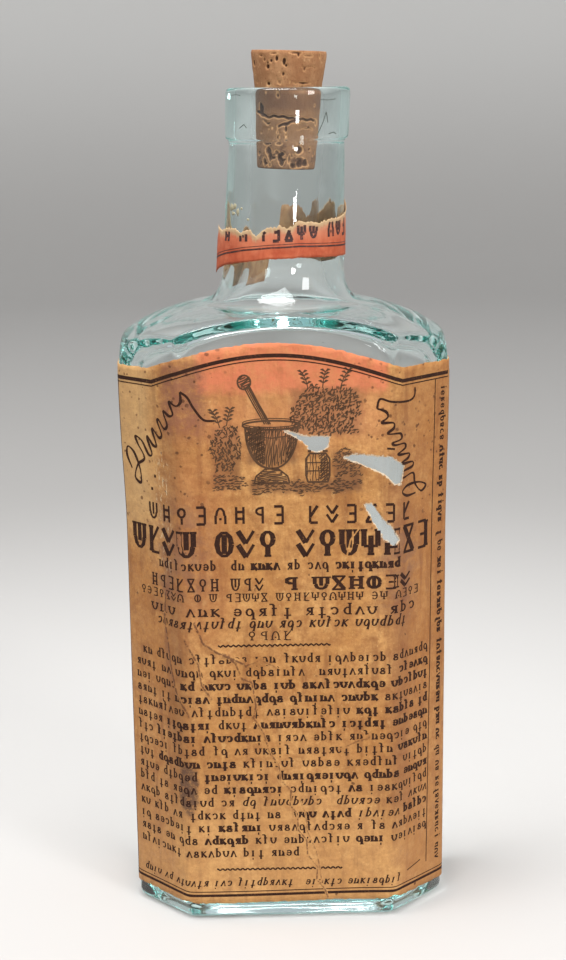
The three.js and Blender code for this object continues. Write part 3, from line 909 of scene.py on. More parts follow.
def draw_mark(ink, mark, to_sheet, width, height, style):
    """One mark, its unit square stretched to width by height and leant by the style's slant."""
    stem, hair, half_hair = style.stem * height, style.hair * height, style.hair / 2

    def line(thickness, *ends):
        ink.stroke([to_sheet(x * width + y * height * style.slant, y * height) for x, y in ends], thickness)

    for kind, *values in mark:
        if kind == "stem":
            x, low, high, foot, head = values
            line(stem, (x, low), (x, high))
            for y, wanted in ((low + half_hair, foot), (high - half_hair, head)):
                if wanted and style.serif:
                    line(hair, (x - style.serif, y), (x + style.serif, y))
        elif kind == "bar":
            left, right, y = values
            line(hair * 1.2, (left, y), (right, y))
        elif kind in ("leg", "thin"):
            line(stem if kind == "leg" else hair * 1.3, values[:2], values[2:])
        elif kind == "bow":
            x, y, reach_x, reach_y, start, end = values
            turns = np.radians(np.linspace(start, end, max(4, round(abs(end - start) / 36) + 1)))
            reach_x, reach_y = reach_x - half_hair, reach_y - half_hair
            places = [(x + reach_x * math.cos(turn), y + reach_y * math.sin(turn)) for turn in turns]
            line([hair + (stem - hair) * abs(math.cos(turn)) for turn in turns], *places)
        elif kind == "dot":
            x, y = values
            line(stem * 0.9, (x - 0.1, y), (x + 0.1, y))


def turned(start, degrees):
    """A function that turns offsets by degrees and moves them to start."""
    cos, sin = math.cos(math.radians(degrees)), math.sin(math.radians(degrees))
    return lambda u, v: (start[0] + u * cos - v * sin, start[1] + u * sin + v * cos)


def words_of(style, *counts):
    return [(count, style) for count in counts]


def set_line(ink, start, length, height, words, turn=0.0):
    """A justified line of words, each a count of marks and a style, from start along turn degrees."""
    place = turned(start, turn)
    advance = length / (sum(count for count, _ in words) + WORD_GAP * (len(words) - 1))
    along = 0.0
    last = None
    for count, style in words:
        for _ in range(count):
            last = ink.draw.choice([mark for mark in style.marks if mark is not last])
            offset = along * advance + advance * (1 - style.fill) / 2
            if ink.draw.random() > SKIPPED:
                draw_mark(ink, last, lambda u, v: place(offset + u, v), advance * style.fill, height, style)
            along += 1
        along += WORD_GAP


def running_words(draw, marks_wanted, bold_share, italic_share=0.0):
    """Words of 2 to 11 marks that come to about marks_wanted, in runs of one style."""
    words, room, style = [], marks_wanted, ROMAN
    shares = [bold_share, italic_share, 1 - bold_share - italic_share]
    while room > 2:
        if draw.random() < 0.5:
            style = draw.choices([BOLD, ITALIC, ROMAN], shares)[0]
        count = min(draw.choice([2, 2, 3, 4, 5, 6, 7, 8, 9, 11]), int(room))
        words.append((count, style))
        room -= count + WORD_GAP
    return words


def print_borders(ink):
    """Two lines over the arch, two along the bottom, one down each side, and the small rules."""
    across = np.concatenate([[-41], np.linspace(-29.8, 24.6, 56), [35.2, 55]])
    for drop, width in ((0, 0.8), (0.95, 0.24)):
        heights = arch(across, 122.2 - drop, 6.0, -2.6, 27.2)
        ink.stroke(list(zip(across.tolist(), heights.tolist())), width)
    for height, width in ((6.15, 0.6), (7.05, 0.2)):
        ink.stroke([(s, height + 0.18 * math.sin(s / 9.0)) for s in np.arange(-41, 41.5, 1.4)], width)
    ink.stroke([(-40.3, 122.2), (-40.6, 60), (-40.3, 6.2)], 0.3)
    ink.stroke([(35.2, 121.2), (34.7, 60), (33.9, 9.6)], 0.24)
    for left, right, height in ((-15.4, 9.1, 64.8), (-16.7, 11.5, 12.3)):
        ink.stroke([(s, height + 0.2 * math.sin(s * 5.6)) for s in np.arange(left, right, 0.28)], 0.36)
    ink.stroke([(27.2, 9.8), (31.8, 10.8)], 0.22)


HEADINGS = [  # left, right, base, height, words
    (-32.9, 28.1, 92.1, 3.7, words_of(THIN_SANS, 8, 6)),
    (-38, 34, 84.7, 5.8, words_of(HEAVY, 4, 3, 7)),
    (-29.6, 24.5, 81.8, 1.55,
     words_of(ROMAN, 10, 2) + words_of(BOLD, 4) + words_of(ROMAN, 2, 3) + words_of(BOLD, 9)),
    (-32.4, -5, 77.2, 2.8, words_of(PLAIN, 7, 3)),
    (-1.5, 27.9, 77.2, 2.9, words_of(SHADED, 1, 6)),
    (-35.8, 30.6, 74.8, 1.8, words_of(SMALL_CAPITALS, 9, 1, 5, 10, 2, 4)),
    (-32.6, 29.7, 71.5, 1.75, words_of(WIDE, 3, 3, 5, 6, 3)),
    (-30.8, 26.3, 68.8, 1.6, words_of(ITALIC, 12, 3, 3, 5, 7)),
    (-9.3, 3.5, 66, 2.0, words_of(PLAIN, 5)),
    (-37.5, 25, 8.3, 1.3, words_of(ITALIC, 4, 2, 6, 3, 10, 6, 9)),
]


def print_headings(ink):
    for left, right, base, height, words in HEADINGS:
        set_line(ink, (left, base), right - left, height, words)


PARAGRAPH_LINES, PARAGRAPH_TOP, PARAGRAPH_PITCH = 16, 60.8, 3.03
BOLD_LINES, ITALIC_LINES = (2, 3, 4, 5, 8, 9), (11, 12)  # the lines that have more of each
SMALL_ADVANCE = 1.62  # the room that a small mark takes along its line
SIDE_COLUMNS = (44.6, 47.4, 50.2, 53, -43.5, -46.4, -49.3, -52.2)
SIDE_RULES = (41.4, 55.0, -54.6)
COLUMN_LENGTH, COLUMN_MARKS = 111, 82


def print_paragraph(ink):
    """Justified lines, the first indented and the last short."""
    for line in range(PARAGRAPH_LINES):
        left = -35.8 if line == 0 else -38
        right = 2 if line == PARAGRAPH_LINES - 1 else 34
        bold_share = 0.75 if line in BOLD_LINES else 0.3
        italic_share = 0.4 if line in ITALIC_LINES else 0.0
        words = running_words(ink.draw, round((right - left) / SMALL_ADVANCE), bold_share, italic_share)
        set_line(ink, (left, PARAGRAPH_TOP - PARAGRAPH_PITCH * line), right - left, 1.45, words)


def print_side_columns(ink):
    """Upright columns of small marks on the right chamfer's edge and on both side faces."""
    columns = [(38.3, 1.25, 0.6)] + [(s, 1.05, 0.3) for s in SIDE_COLUMNS]
    for s, height, bold_share in columns:
        start, turn = ((s, 9), 90) if s > 0 else ((s, 120), -90)
        words = running_words(ink.draw, COLUMN_MARKS, bold_share)
        set_line(ink, start, COLUMN_LENGTH, height, words, turn)
    for s in SIDE_RULES:
        ink.stroke([(s, 121.5), (s, 60), (s, 7)], 0.25)


HATCH_STEP, HATCH_BREAKS = 0.45, 0.03  # the length of a step, and the share of steps where a line breaks
ENGRAVING_GAP = 0.52


def hatch(ink, outline, degrees, spacing, width):
    """Wavering parallel lines that fill an outline, with a few breaks in them."""
    centre = np.mean(outline, 0)
    place = turned(centre, degrees)
    reach = max(math.hypot(u - centre[0], v - centre[1]) for u, v in outline)
    for across in np.arange(-reach, reach, spacing):
        run = []
        phase = ink.draw.uniform(0, ANY_PHASE)
        for along in np.arange(-reach, reach, HATCH_STEP):
            point = place(along, across + 0.09 * math.sin(along * 1.7 + phase))
            if inside(outline, *point) and ink.draw.random() > HATCH_BREAKS:
                run.append(point)
                continue
            if len(run) > 1:
                ink.stroke(run, width * ink.draw.uniform(0.7, 1.3))
            run = []
        if len(run) > 1:
            ink.stroke(run, width)


def curve_through(points, count=10):
    """A smooth curve through points, by the Catmull-Rom rule."""
    def along_curve(p, q, r, s, t):
        squared, cubed = (2 * p - 5 * q + 4 * r - s) * t * t, (3 * q - p - 3 * r + s) * t**3
        return 0.5 * (2 * q + (r - p) * t + squared + cubed)

    ends = [points[0], *points, points[-1]]
    made = []
    for four in zip(ends[:-3], ends[1:-2], ends[2:-1], ends[3:]):
        for t in np.linspace(0, 1, count, endpoint=False):
            made.append(tuple(along_curve(*values, t) for values in zip(*four)))
    return [*made, points[-1]]


def ellipse(u, v, reach_u, reach_v, count):
    turns = np.linspace(0, 2 * math.pi, count)
    return [(u + reach_u * math.cos(turn), v + reach_v * math.sin(turn)) for turn in turns]


def engraved_mass(ink, outline, low_turn, high_turn, tone):
    """A patch of foliage or ground: short bent strokes, laid close and turned within a range of radians."""
    draw = ink.draw
    rough = ragged(outline, 1.1, 0.62, draw)
    low, high = np.min(outline, 0) - 0.4, np.max(outline, 0) + 0.4
    for row in np.arange(low[1], high[1], ENGRAVING_GAP * 0.9):
        for column in np.arange(low[0], high[0], ENGRAVING_GAP * 1.25):
            u, v = column + draw.uniform(-0.3, 0.3), row + draw.uniform(-0.22, 0.22)
            turn, size = draw.uniform(low_turn, high_turn), draw.uniform(0.25, 0.55)
            bend = draw.uniform(-0.22, 0.22)
            if draw.random() < 0.1 or not inside(rough, u, v):
                continue
            reach_u, reach_v = size * math.cos(turn), size * math.sin(turn)
            middle = (u - bend * math.sin(turn), v + bend)
            path = [(u - reach_u, v - reach_v), middle, (u + reach_u, v + reach_v)]
            ink.stroke(path, [0.1, draw.uniform(0.22, 0.42) * tone, 0.12])


ENGRAVED_MASSES = [  # lowest and highest turn in radians, tone, outline: bushes, heaps of stones, the ground
    (0.1, 1.6, 1.15, [(0.8, 113.4), (1.6, 118.8), (5, 121.8), (9, 121), (12.4, 122), (15.4, 120.6),
                      (15.8, 116), (14, 113.2), (15.2, 111.4), (9, 110.6), (4.6, 111.6)]),
    (0.4, 2.6, 1.1, [(-15.2, 112.2), (-12.4, 113.8), (-9.6, 113), (-9.6, 106.6), (-11, 103.6), (-15.4, 103.4),
                     (-16, 108)]),
    (-0.2, 0.9, 1.0, [(9.8, 107.2), (12.6, 108.6), (15.8, 106.4), (15.6, 102), (10, 101.2)]),
    (-0.3, 0.4, 1.0, [(-15.6, 102.6), (-9, 102.4), (-8, 100.4), (-11, 99), (-15.8, 99.8)]),
    (-0.2, 0.2, 0.9, [(-8, 101.6), (4, 101.4), (15.4, 101.2), (15.8, 99.4), (6, 98.4), (-6, 98.6)]),
]


def engrave_mortar(ink):
    """A bowl on a foot, shaded at both sides, and a pestle with a round knob."""
    bowl = [(-8.8, 113.2), (-8.3, 109.4), (-6.8, 106), (-4.6, 104.3), (-1.8, 104.3), (0.4, 106), (1.9, 109.4),
            (2.4, 113.2)]
    foot = [(-6.6, 102.4), (-4.6, 104), (-1.9, 104), (0.1, 102.4), (0.5, 100.9), (-7, 100.9)]
    near_shade = bowl[:4] + [(-4.4, 113.2)]
    far_shade = [*bowl[5:], (0.9, 113.2), (-0.4, 107)]
    hatch(ink, bowl, 84, 0.44, 0.24)
    hatch(ink, near_shade, 24, 0.34, 0.3)
    hatch(ink, far_shade, 60, 0.4, 0.22)
    hatch(ink, foot, 3, 0.34, 0.26)
    swell = [0.3, 0.5, 0.62, 0.5, 0.4, 0.36, 0.4, 0.5, 0.42, 0.34]
    side = curve_through(bowl, 4)
    at = np.linspace(0, 1, len(swell))
    ink.stroke(side, [float(np.interp(i / len(side), at, swell)) for i in range(len(side))])
    ink.stroke([*foot, foot[0]], 0.36)
    for lift, width in ((0, 0.4), (0.5, 0.2)):
        ink.stroke(ellipse(-3.2, 113.4 + lift, 6.1, 0.95, 30), width)
    for u in np.linspace(-8, 1.6, 13):
        ink.stroke([(u, 111.6), (u + 0.35, 112.4)], 0.2)
    ink.stroke([(-8.4, 111.3), (-3.2, 110.6), (2, 111.3)], 0.24)
    for shift, width in ((-0.62, 0.3), (-0.2, 0.22), (0.3, 0.5), (0.62, 0.26)):
        ink.stroke([(-4 + shift, 113.6), (-6.4 + shift, 118), (-8.2 + shift, 121.6)], width)
    knob = ellipse(-8.8, 122.6, 1.35, 1.5, 18)
    hatch(ink, knob, 30, 0.4, 0.3)
    ink.stroke(knob, 0.4)


def engrave_jar(ink):
    jar = [(4.4, 101), (4, 102.4), (4, 106), (4.8, 107.2), (8.2, 107.2), (9, 106), (9, 102.4), (8.6, 101)]
    hatch(ink, jar, 90, 0.6, 0.18)
    hatch(ink, [(6.8, 101), (6.8, 107.2), *jar[4:]], 40, 0.4, 0.26)
    ink.stroke([*jar, jar[0]], 0.4)
    for height, left, right, width in ((107.7, 4.4, 8.6, 0.5), (108.5, 5, 8, 0.36), (109.2, 6.1, 6.9, 0.7),
                                       (103.4, 4.2, 8.8, 0.26), (105.2, 4.2, 8.8, 0.26)):
        ink.stroke([(left, height), (right, height)], width)


SPRIGS = [  # the stalk's foot, and how far it leans
    (-14, 113, -1.4),
    (-12.6, 113.4, 0.8),
    (11.4, 121.4, 1.6),
    (4.6, 121, -1.2),
    (7.6, 121.2, 0.6),
]


def engrave_sprigs(ink):
    """Stalks with pairs of leaves, standing up out of the bushes."""
    for u, v, lean in SPRIGS:
        ink.stroke([(u, v), (u + lean * 0.4, v + 1.9), (u + lean, v + 3.4)], 0.22)
        for share in (0.3, 0.55, 0.8, 1.0):
            at_u, at_v = u + lean * share, v + 3.4 * share
            for side in (-1, 1):
                leaf = [(at_u, at_v), (at_u + side * 0.6, at_v + 0.5), (at_u + side * 1.05, at_v + 0.5)]
                ink.stroke(leaf, [0.16, 0.5, 0.12])


def print_vignette(ink):
    """An engraving of a druggist's mortar and pestle and a lidded jar, before bushes and on rough ground."""
    for low_turn, high_turn, tone, outline in ENGRAVED_MASSES:
        engraved_mass(ink, outline, low_turn, high_turn, tone)
    engrave_mortar(ink)
    engrave_jar(ink)
    engrave_sprigs(ink)


def print_flourishes(ink):
    """Slanting pen flourishes in the upper corners: a looped stroke with small waves and a long tail."""
    swash = [(0, 2.2), (1.2, 4.6), (2.8, 5.4), (3, 3.4), (1.4, 0.4), (-0.6, -1.2), (-0.8, 0.6), (1.8, 1.4),
             (4.2, 0.8), (5.2, 3.6), (6, 5), (6.5, 3.2), (5.6, 0.4), (6.4, -0.2), (7.8, 2.2), (8.4, 2.6),
             (8, 0.6), (8.6, -0.2), (10, 2), (10.6, 2.4), (10.4, 0.2), (11.4, 0), (12.6, 2.2), (13.2, 2.2),
             (12.8, 0.2), (14, 0), (15.4, 2.3), (15.8, 0.6), (16.8, 0.2), (18, 2.2), (18.4, 0.6),
             (19.6, 0.4), (21, 1.6)]
    left_tail = [(-20.6, 119.6), (-19.4, 117.4), (-17.4, 114.8), (-15.2, 114.5)]
    right_tail = [(19.6, 118.6), (22, 118), (26.6, 117.7), (28.4, 118.5), (28.6, 120.3)]
    for start, turn, size, thin, swell, tail, tail_width in (
        ((-35, 101), 52.4, 1.12, 0.34, 0.34, left_tail, 0.5),
        ((31.2, 98.4), 119.6, 1.04, 0.32, 0.3, right_tail, 0.46),
    ):
        place = turned(start, turn)
        written = curve_through([place(along * size, up * size) for along, up in swash], 7)
        ink.stroke(written, [thin + swell * math.sin(i * 0.21) ** 2 for i in range(len(written))])
        ink.stroke(curve_through([written[-1], *tail]), tail_width)
    for dash, width in (([(-31.2, 98.8), (-30.6, 98.8)], 0.62), ([(-30.1, 101.7), (-29.5, 101.7)], 0.62),
                        ([(21.1, 108), (22.8, 107.8)], 0.42)):
        ink.stroke(dash, width)


def ink_material(name, dark, light):
    nodes = LabelNodes(name)
    tone = nodes.mix(nodes.noise(nodes.place, 3.5, detail=4), dark, light)
    worn = nodes.lumps(nodes.place, 0.5, 0.55, 0.74, detail=6, roughness=0.75)
    thin_patch = nodes.lumps(nodes.place, 7, 0.4, 0.7, out=(0.3, 0.95))
    bare = nodes.math("MULTIPLY", worn, thin_patch)
    nodes.set(Base_Color=nodes.mix(bare, tone, paper_colour(nodes)), Roughness=0.75, Specular_IOR_Level=0.2)
    return nodes.material


def near_tear(u, v, left):
    """True right of left in the part of the sheet that holds all the tears."""
    return left < u < 27 and 85 < v < 114


def near_fold_or_tear(u, v):
    from_fold = min(abs(abs(u) - FRONT_CORNER), abs(abs(u) - SIDE_CORNER))
    return from_fold < NEAR_FOLD or near_tear(u, v, -3)


def clear_of_tears(u, v):
    if not near_tear(u, v, -2):
        return True
    place = np.array([u]), np.array([v])
    return not any(inside(tear, *place)[0] for tear in TEARS) and tear_distance(*place)[0] > BARE_EDGE


def printed_surface(u, v, off):
    return label_surface(u, v, PAPER_GAP + PAPER_THICK + paper_lift(u, v) + off)


def add_print():
    draw = random.Random(17)
    type_ink = ink_material("printing_ink", srgb(34, 17, 11), srgb(64, 36, 24))
    engraving_ink = ink_material("engraving_ink", srgb(62, 42, 30), srgb(104, 76, 54))
    for name, material, printers in (
        ("label_rules", type_ink, [print_borders]),
        ("label_heading", type_ink, [print_headings]),
        ("label_small_print", type_ink, [print_paragraph, print_side_columns]),
        ("label_vignette", engraving_ink, [print_vignette]),
        ("label_flourishes", type_ink, [print_flourishes]),
    ):
        ink = Ink(printed_surface, draw, near_fold_or_tear, clear_of_tears)
        for printer in printers:
            printer(ink)
        ink.piece(name, material, "label_paper")


add_print()

# ---- the cork ----

CORK_PROFILE = [(0, 6.1), (0.5, 6.28), (17, 7.25), (24.0, 8.2), (24.6, 8.05)]  # height up the cork, radius
CORK_RADIUS = 7.2  # turns an angle into a distance round the cork
FOOT_RISE = 0.23  # the foot leans, so its middle stands this far over its lowest edge
CORK_PITS = [  # angle, height, half width, half height, depth
    (-2.2, 21.2, 0.4, 0.45, 0.5), (-2.3, 22.6, 0.35, 0.5, 0.3), (-1.92, 22.8, 0.3, 0.6, 0.55),
    (-2.08, 22.4, 0.3, 0.4, 0.4), (-1.72, 22.4, 0.3, 0.7, 0.6), (-1.66, 21.5, 0.3, 0.3, 0.4),
    (-2.42, 23.4, 0.5, 0.3, 0.3), (-2.0, 23.9, 0.8, 0.3, 0.25), (-1.14, 21, 0.3, 0.4, 0.3),
    (-1.4, 24.1, 1.2, 0.3, 0.3), (-1.05, 23.6, 0.9, 0.3, 0.25), (-2.38, 12.6, 0.6, 1.0, 0.8),
    (-1.13, 18.0, 1.5, 0.2, 0.45), (-1.62, 8.6, 0.3, 0.7, 0.4),
]
SMALL_PITS, CHIPS = 85, 26
CHIP_LIMITS = [(-2.6, -0.9), (0.6, 6.2), (0.3, 0.8), (0.35, 0.9), (0.25, 0.6)]  # of the same five values
CORK_CRACKS = [  # half width, depth, and the line as angles and heights
    (0.26, 0.55, [(-2.6, 11.9), (-2.42, 11.6), (-2.2, 10.9), (-1.9, 11.1), (-1.6, 10.9), (-1.4, 10.6),
                  (-0.75, 10.5)]),
    (0.3, 0.5, [(-1.8, 9.2), (-1.66, 9.5), (-1.5, 10.0), (-1.3, 10.2)]),
    (0.2, 0.4, [(-2.3, 10.1), (-2.2, 9.5), (-2.1, 9.8)]),
    (0.14, 0.3, [(-1.3, 8.6), (-1.0, 8.9), (-0.8, 8.6)]),
    (0.12, 0.3, [(-1.2, 21.2), (-0.95, 21.5), (-0.75, 21.2)]),
    (0.12, 0.35, [(-1.86, 8.6), (-1.8, 7.6), (-1.86, 6.9)]),
    (0.12, 0.35, [(-1.35, 6.2), (-1.35, 3.4), (-1.3, 0.4)]),
    (0.12, 0.3, [(0.6, 15), (1.3, 15.6), (1.9, 14.8), (2.7, 15.2)]),
    (0.12, 0.3, [(1.2, 4), (1.5, 8), (1.45, 12.5)]),
]
CORK_MOTTLES = [
    (0.45, 0.6, 0.68, 3, 0.6, None, 0.55, (112, 68, 42)),
    (1.3, 0.6, 0.7, 4, 0.55, None, 0.5, (226, 184, 136)),
    (3.4, 0.42, 0.62, 4, 0.6, (1, 1, 0.55), 0.4, (146, 94, 60)),
]


def cork_pits():
    """Small pits all over, chips low on the front, and the pits that the photo shows, as in CORK_PITS."""
    draw = random.Random(7)
    pits = []
    for _ in range(SMALL_PITS):
        size = draw.uniform(0.18, 0.5)
        angle, up = draw.uniform(-math.pi, math.pi), draw.uniform(0.3, 24.3)
        half_width, half_height = size * draw.uniform(0.6, 1.2), size * draw.uniform(0.7, 1.9)
        pits.append((angle, up, half_width, half_height, draw.uniform(0.12, 0.45)))
    for _ in range(CHIPS):
        pits.append(tuple(draw.uniform(*limits) for limits in CHIP_LIMITS))
    return pits + CORK_PITS


def cork_relief(angle, height, pits):
    """(how deep the surface is cut, how much of that is a pit) at points round the side of the cork."""
    place = CORK_RADIUS * np.cos(angle), CORK_RADIUS * np.sin(angle), height
    cut = 0.06 * (1 + ripple(*place, 2.2, 31)) + 0.05 * (1 + ripple(*place, 5.5, 32))
    pit = np.zeros_like(cut)
    for at, up, half_width, half_height, depth in pits:
        across = (np.mod(angle - at + math.pi, 2 * math.pi) - math.pi) * CORK_RADIUS / half_width
        wobble = 1 + 0.75 * ripple(CORK_RADIUS * angle + at * 7, height, 0, 1.1, 33)
        away = (across**2 + ((height - up) / half_height) ** 2) * wobble
        pit = np.maximum(pit, depth * np.exp(-(away**1.6)))
    wander = 0.16 * np.sin(height * 3.1 + angle * 11)
    along, level = angle * CORK_RADIUS + wander, height + 0.12 * np.sin(angle * 23)
    for half_width, depth, path in CORK_CRACKS:
        flat = [(a * CORK_RADIUS, up) for a, up in path]
        pit = np.maximum(pit, depth * ridge(flat, half_width, along, level))
    return cut + pit, pit


def cork_material():
    """Mottled tan with pale edges round dark pits, and painted shade inside the neck and just under the lip.
    """
    nodes = Nodes("old_cork")
    place = nodes.object_mm()
    pit = nodes.attribute("pit", output="Fac")
    up = nodes.attribute("up", output="Fac")
    tone = nodes.mix(nodes.lumps(place, 4.5, 0.3, 0.7, detail=4), srgb(172, 122, 84), srgb(196, 148, 106))
    grain = nodes.lumps(place, 0.9, 0.35, 0.72, detail=5, roughness=0.7, stretch=(1, 1, 0.35))
    tone = nodes.mottled(nodes.tint(tone, 0.5, grain, (164, 112, 76)), place, CORK_MOTTLES)
    # painted shade: the cork is darkened where it sits inside the glass neck
    tone = nodes.tint(tone, 0.85, nodes.between(up, 15.4, 16.3, 1.0, 0.0), (112, 80, 56))
    # painted shadow: a darker band round the cork just under the top of the lip
    uneven = nodes.lumps(place, 2.6, 0.3, 0.6, detail=4, out=(0.35, 0.75))
    tone = nodes.tint(tone, uneven, nodes.span(up, 12.4, 15.9, 0.9), (92, 62, 46))
    stains = nodes.lumps(place, 1.4, 0.5, 0.62, detail=5, roughness=0.7)
    foot = nodes.math("MULTIPLY", nodes.between(up, 7, 4.4), stains)
    tone = nodes.tint(tone, 0.75, foot, (70, 46, 36))
    tone = nodes.tint(tone, 0.5, nodes.span(pit, 0.05, 0.12, 0.04), (222, 172, 118))
    tone = nodes.mix(nodes.between(pit, 0.14, 0.36, 0.0, 0.92), tone, srgb(58, 36, 26))
    fine = nodes.noise(place, 0.35, detail=5, roughness=0.7)
    height = nodes.math("MULTIPLY_ADD", fine, 0.6, nodes.math("MULTIPLY", grain, -0.7))
    nodes.set(Base_Color=tone, Roughness=0.88, Specular_IOR_Level=0.25, Normal=nodes.bump(height, 0.6, 0.15))
    return nodes.material


def cork_foot(angles):
    """Rings as (radius, height, pit), from the middle of the foot outwards."""
    rings = []
    for share in np.linspace(0.04, 0.97, 14):
        dent = 0.12 * (1 + ripple(6 * share * np.cos(angles), 6 * share * np.sin(angles), angles * 0, 3, 35))
        rings.append((np.full(len(angles), CORK_PROFILE[0][1] * share), dent, dent * 0.6))
    return rings


def cork_side(angles):
    pits = cork_pits()
    ups, radii = zip(*CORK_PROFILE)
    rings = []
    for up in np.linspace(0, ups[-1], 128):
        level = np.full(len(angles), up)
        cut, pit = cork_relief(angles, level, pits)
        rim = 1 - smoothstep(0, 0.5, up) * 0.2
        rings.append((np.interp(up, ups, radii) - cut * rim, level, pit))
    return rings


def cork_top(angles):
    rings = []
    height, radius = CORK_PROFILE[-1]
    for share in np.linspace(0.97, 0.04, 18):
        place = (8 * share * np.cos(angles), 8 * share * np.sin(angles), angles * 0)
        dent = 0.1 * (1 + ripple(*place, 4, 36)) + 0.3 * np.maximum(0, ripple(*place, 1.6, 37) - 0.35)
        rings.append((np.full(len(angles), (radius - 0.12) * share), height - dent, dent * 0.9))
    return rings


def add_cork():
    columns = 232
    angles = np.linspace(-math.pi, math.pi, columns, endpoint=False)
    rings = cork_foot(angles) + cork_side(angles) + cork_top(angles)
    points = [np.stack([r * np.cos(angles), r * np.sin(angles), z], -1) for r, z, _ in rings]
    points = np.concatenate([[points[0].mean(0)], *points, [points[-1].mean(0)]])
    pit = np.concatenate([[0.1], *(p for _, _, p in rings), [0.1]])
    tilt = np.array(Vector((0, 0, 1)).rotation_difference(lean_axis).to_matrix())
    foot_height = cork_low.z + FOOT_RISE
    placed = points @ tilt.T + np.array([lean_shift(foot_height), 0, foot_height])
    faces, weights = loft_faces(len(rings), columns), {"pit": pit, "up": points[:, 2]}
    piece = add_piece("cork_plug", placed, faces, cork_material(), "cork", weights=weights)
    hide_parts("cork_stopper")


add_cork()

# ---- the torn seal on the neck ----

# Angles in degrees, counter-clockwise from the right as seen from above, with heights in millimetres.
SEAL_TOP = [
    (-180, 153.4), (-161, 152.5), (-152, 153.5), (-141, 153.3), (-133, 152.5), (-125, 153.2), (-117, 151.9),
    (-108, 153.8), (-96, 154.1), (-88, 153.6), (-80, 154.9), (-70, 155), (-58.5, 154.4), (-46, 155.2),
    (-30, 155.3), (-19, 155.8), (-4, 156.9), (11, 158.2), (30, 157.6), (39, 157.2), (41, 155.6),
    (47, 154.5), (55, 154.2), (62, 155.4), (66, 156.3), (77.5, 156.5), (89, 156.9), (94, 156.1),
    (97, 151.6), (104, 150.4), (116, 150.9), (128, 149.8), (141, 150.6), (153, 150.2), (164, 151.2),
    (173, 152.6), (180, 153.4),
]
SEAL_BOTTOM = [
    (-180, 143.2), (-165, 144.5), (-150, 145.6), (-129, 146.3), (-107, 147.2), (-91, 147.2), (-67, 147.4),
    (-13.5, 146.9), (30, 146.8), (70, 146.8), (98, 147), (110, 146.6), (112, 142.2), (128, 142),
    (144, 142.2), (146, 146), (157, 146.2), (163, 146), (172, 144.8), (180, 143.2),
]
SEAL_RULE = [
    (-179, 146.4), (-153, 147.9), (-130, 148.9), (-105, 149.5), (-77, 149.8), (-16, 149.2), (20, 149),
    (70, 148.8), (120, 148), (150, 147.2), (179, 146.4),
]
SEAL_RADIUS = 13.4  # turns an angle into a distance along the seal
SEAL_THICK = 0.14
SEAL_MOTTLES = [
    (1.6, 0.42, 0.75, 5, 0.65, (1.6, 0.35, 1), 0.6, (176, 74, 48)),
    (2.8, 0.52, 0.72, 5, 0.7, None, 0.35, (226, 140, 104)),
]
GLUE_SCRAPS = [  # angle, height, half width, half height
    (-153, 157.6, 1.1, 0.9), (-147, 157.9, 0.6, 0.7), (-142, 156.7, 0.5, 0.8), (-150, 156.3, 0.7, 0.5),
    (-137, 157.5, 0.35, 0.3), (-128, 155.3, 0.4, 0.3),
]
HAIR_LINES = [  # width, and the line as angles and heights
    (0.16, [(-63, 172.6), (-57, 175.4), (-54, 177.4), (-51.5, 175.2)]),
    (0.13, [(-61, 179.9), (-52, 179.8), (-43, 180)]),
    (0.16, [(-50, 172.9), (-44, 173.2), (-40, 172.8)]),
    (0.16, [(-140, 174.2), (-134, 175), (-131, 174.3)]),
    (0.12, [(-155, 180.9), (-146, 181.1), (-139, 180.9)]),
]


def seal_top(degrees):
    return np.interp(degrees, *zip(*SEAL_TOP))


def seal_bottom(degrees):
    return np.interp(degrees, *zip(*SEAL_BOTTOM))


def round_neck(path, lift=0):
    """A path given as angles and heights, as distances along the seal and heights."""
    return [(math.radians(degrees) * SEAL_RADIUS, z + lift) for degrees, z in path]


def on_neck(along, z, *offs):
    """Points at distances along the seal and heights, the sum of offs outside the glass of the neck."""
    along, z = np.asarray(along, float), np.asarray(z, float)
    angle, radius = along / SEAL_RADIUS, sum(offs, outer_limit(z))
    return np.stack([lean_shift(z) + radius * np.cos(angle), radius * np.sin(angle), z], -1)


def seal_surface(along, z, off):
    """Points off millimetres outside the glue side, which stands loose on the left and curls at the top."""
    along, z = np.asarray(along, float), np.asarray(z, float)
    angle = along / SEAL_RADIUS
    loose = 1.15 * np.maximum(0, np.cos(angle - math.pi)) ** 3 * (1 - 0.5 * smoothstep(150, 156, z))
    curl = 0.18 * smoothstep(-1.6, 0.2, z - seal_top(np.degrees(angle))) * (1 + ripple(along, 0, 0, 4, 51))
    wrinkle = 0.05 * (1 + ripple(along, z * 1.6, 0, 5, 52))
    return on_neck(along, z, 0.06, loose, curl, wrinkle, off)


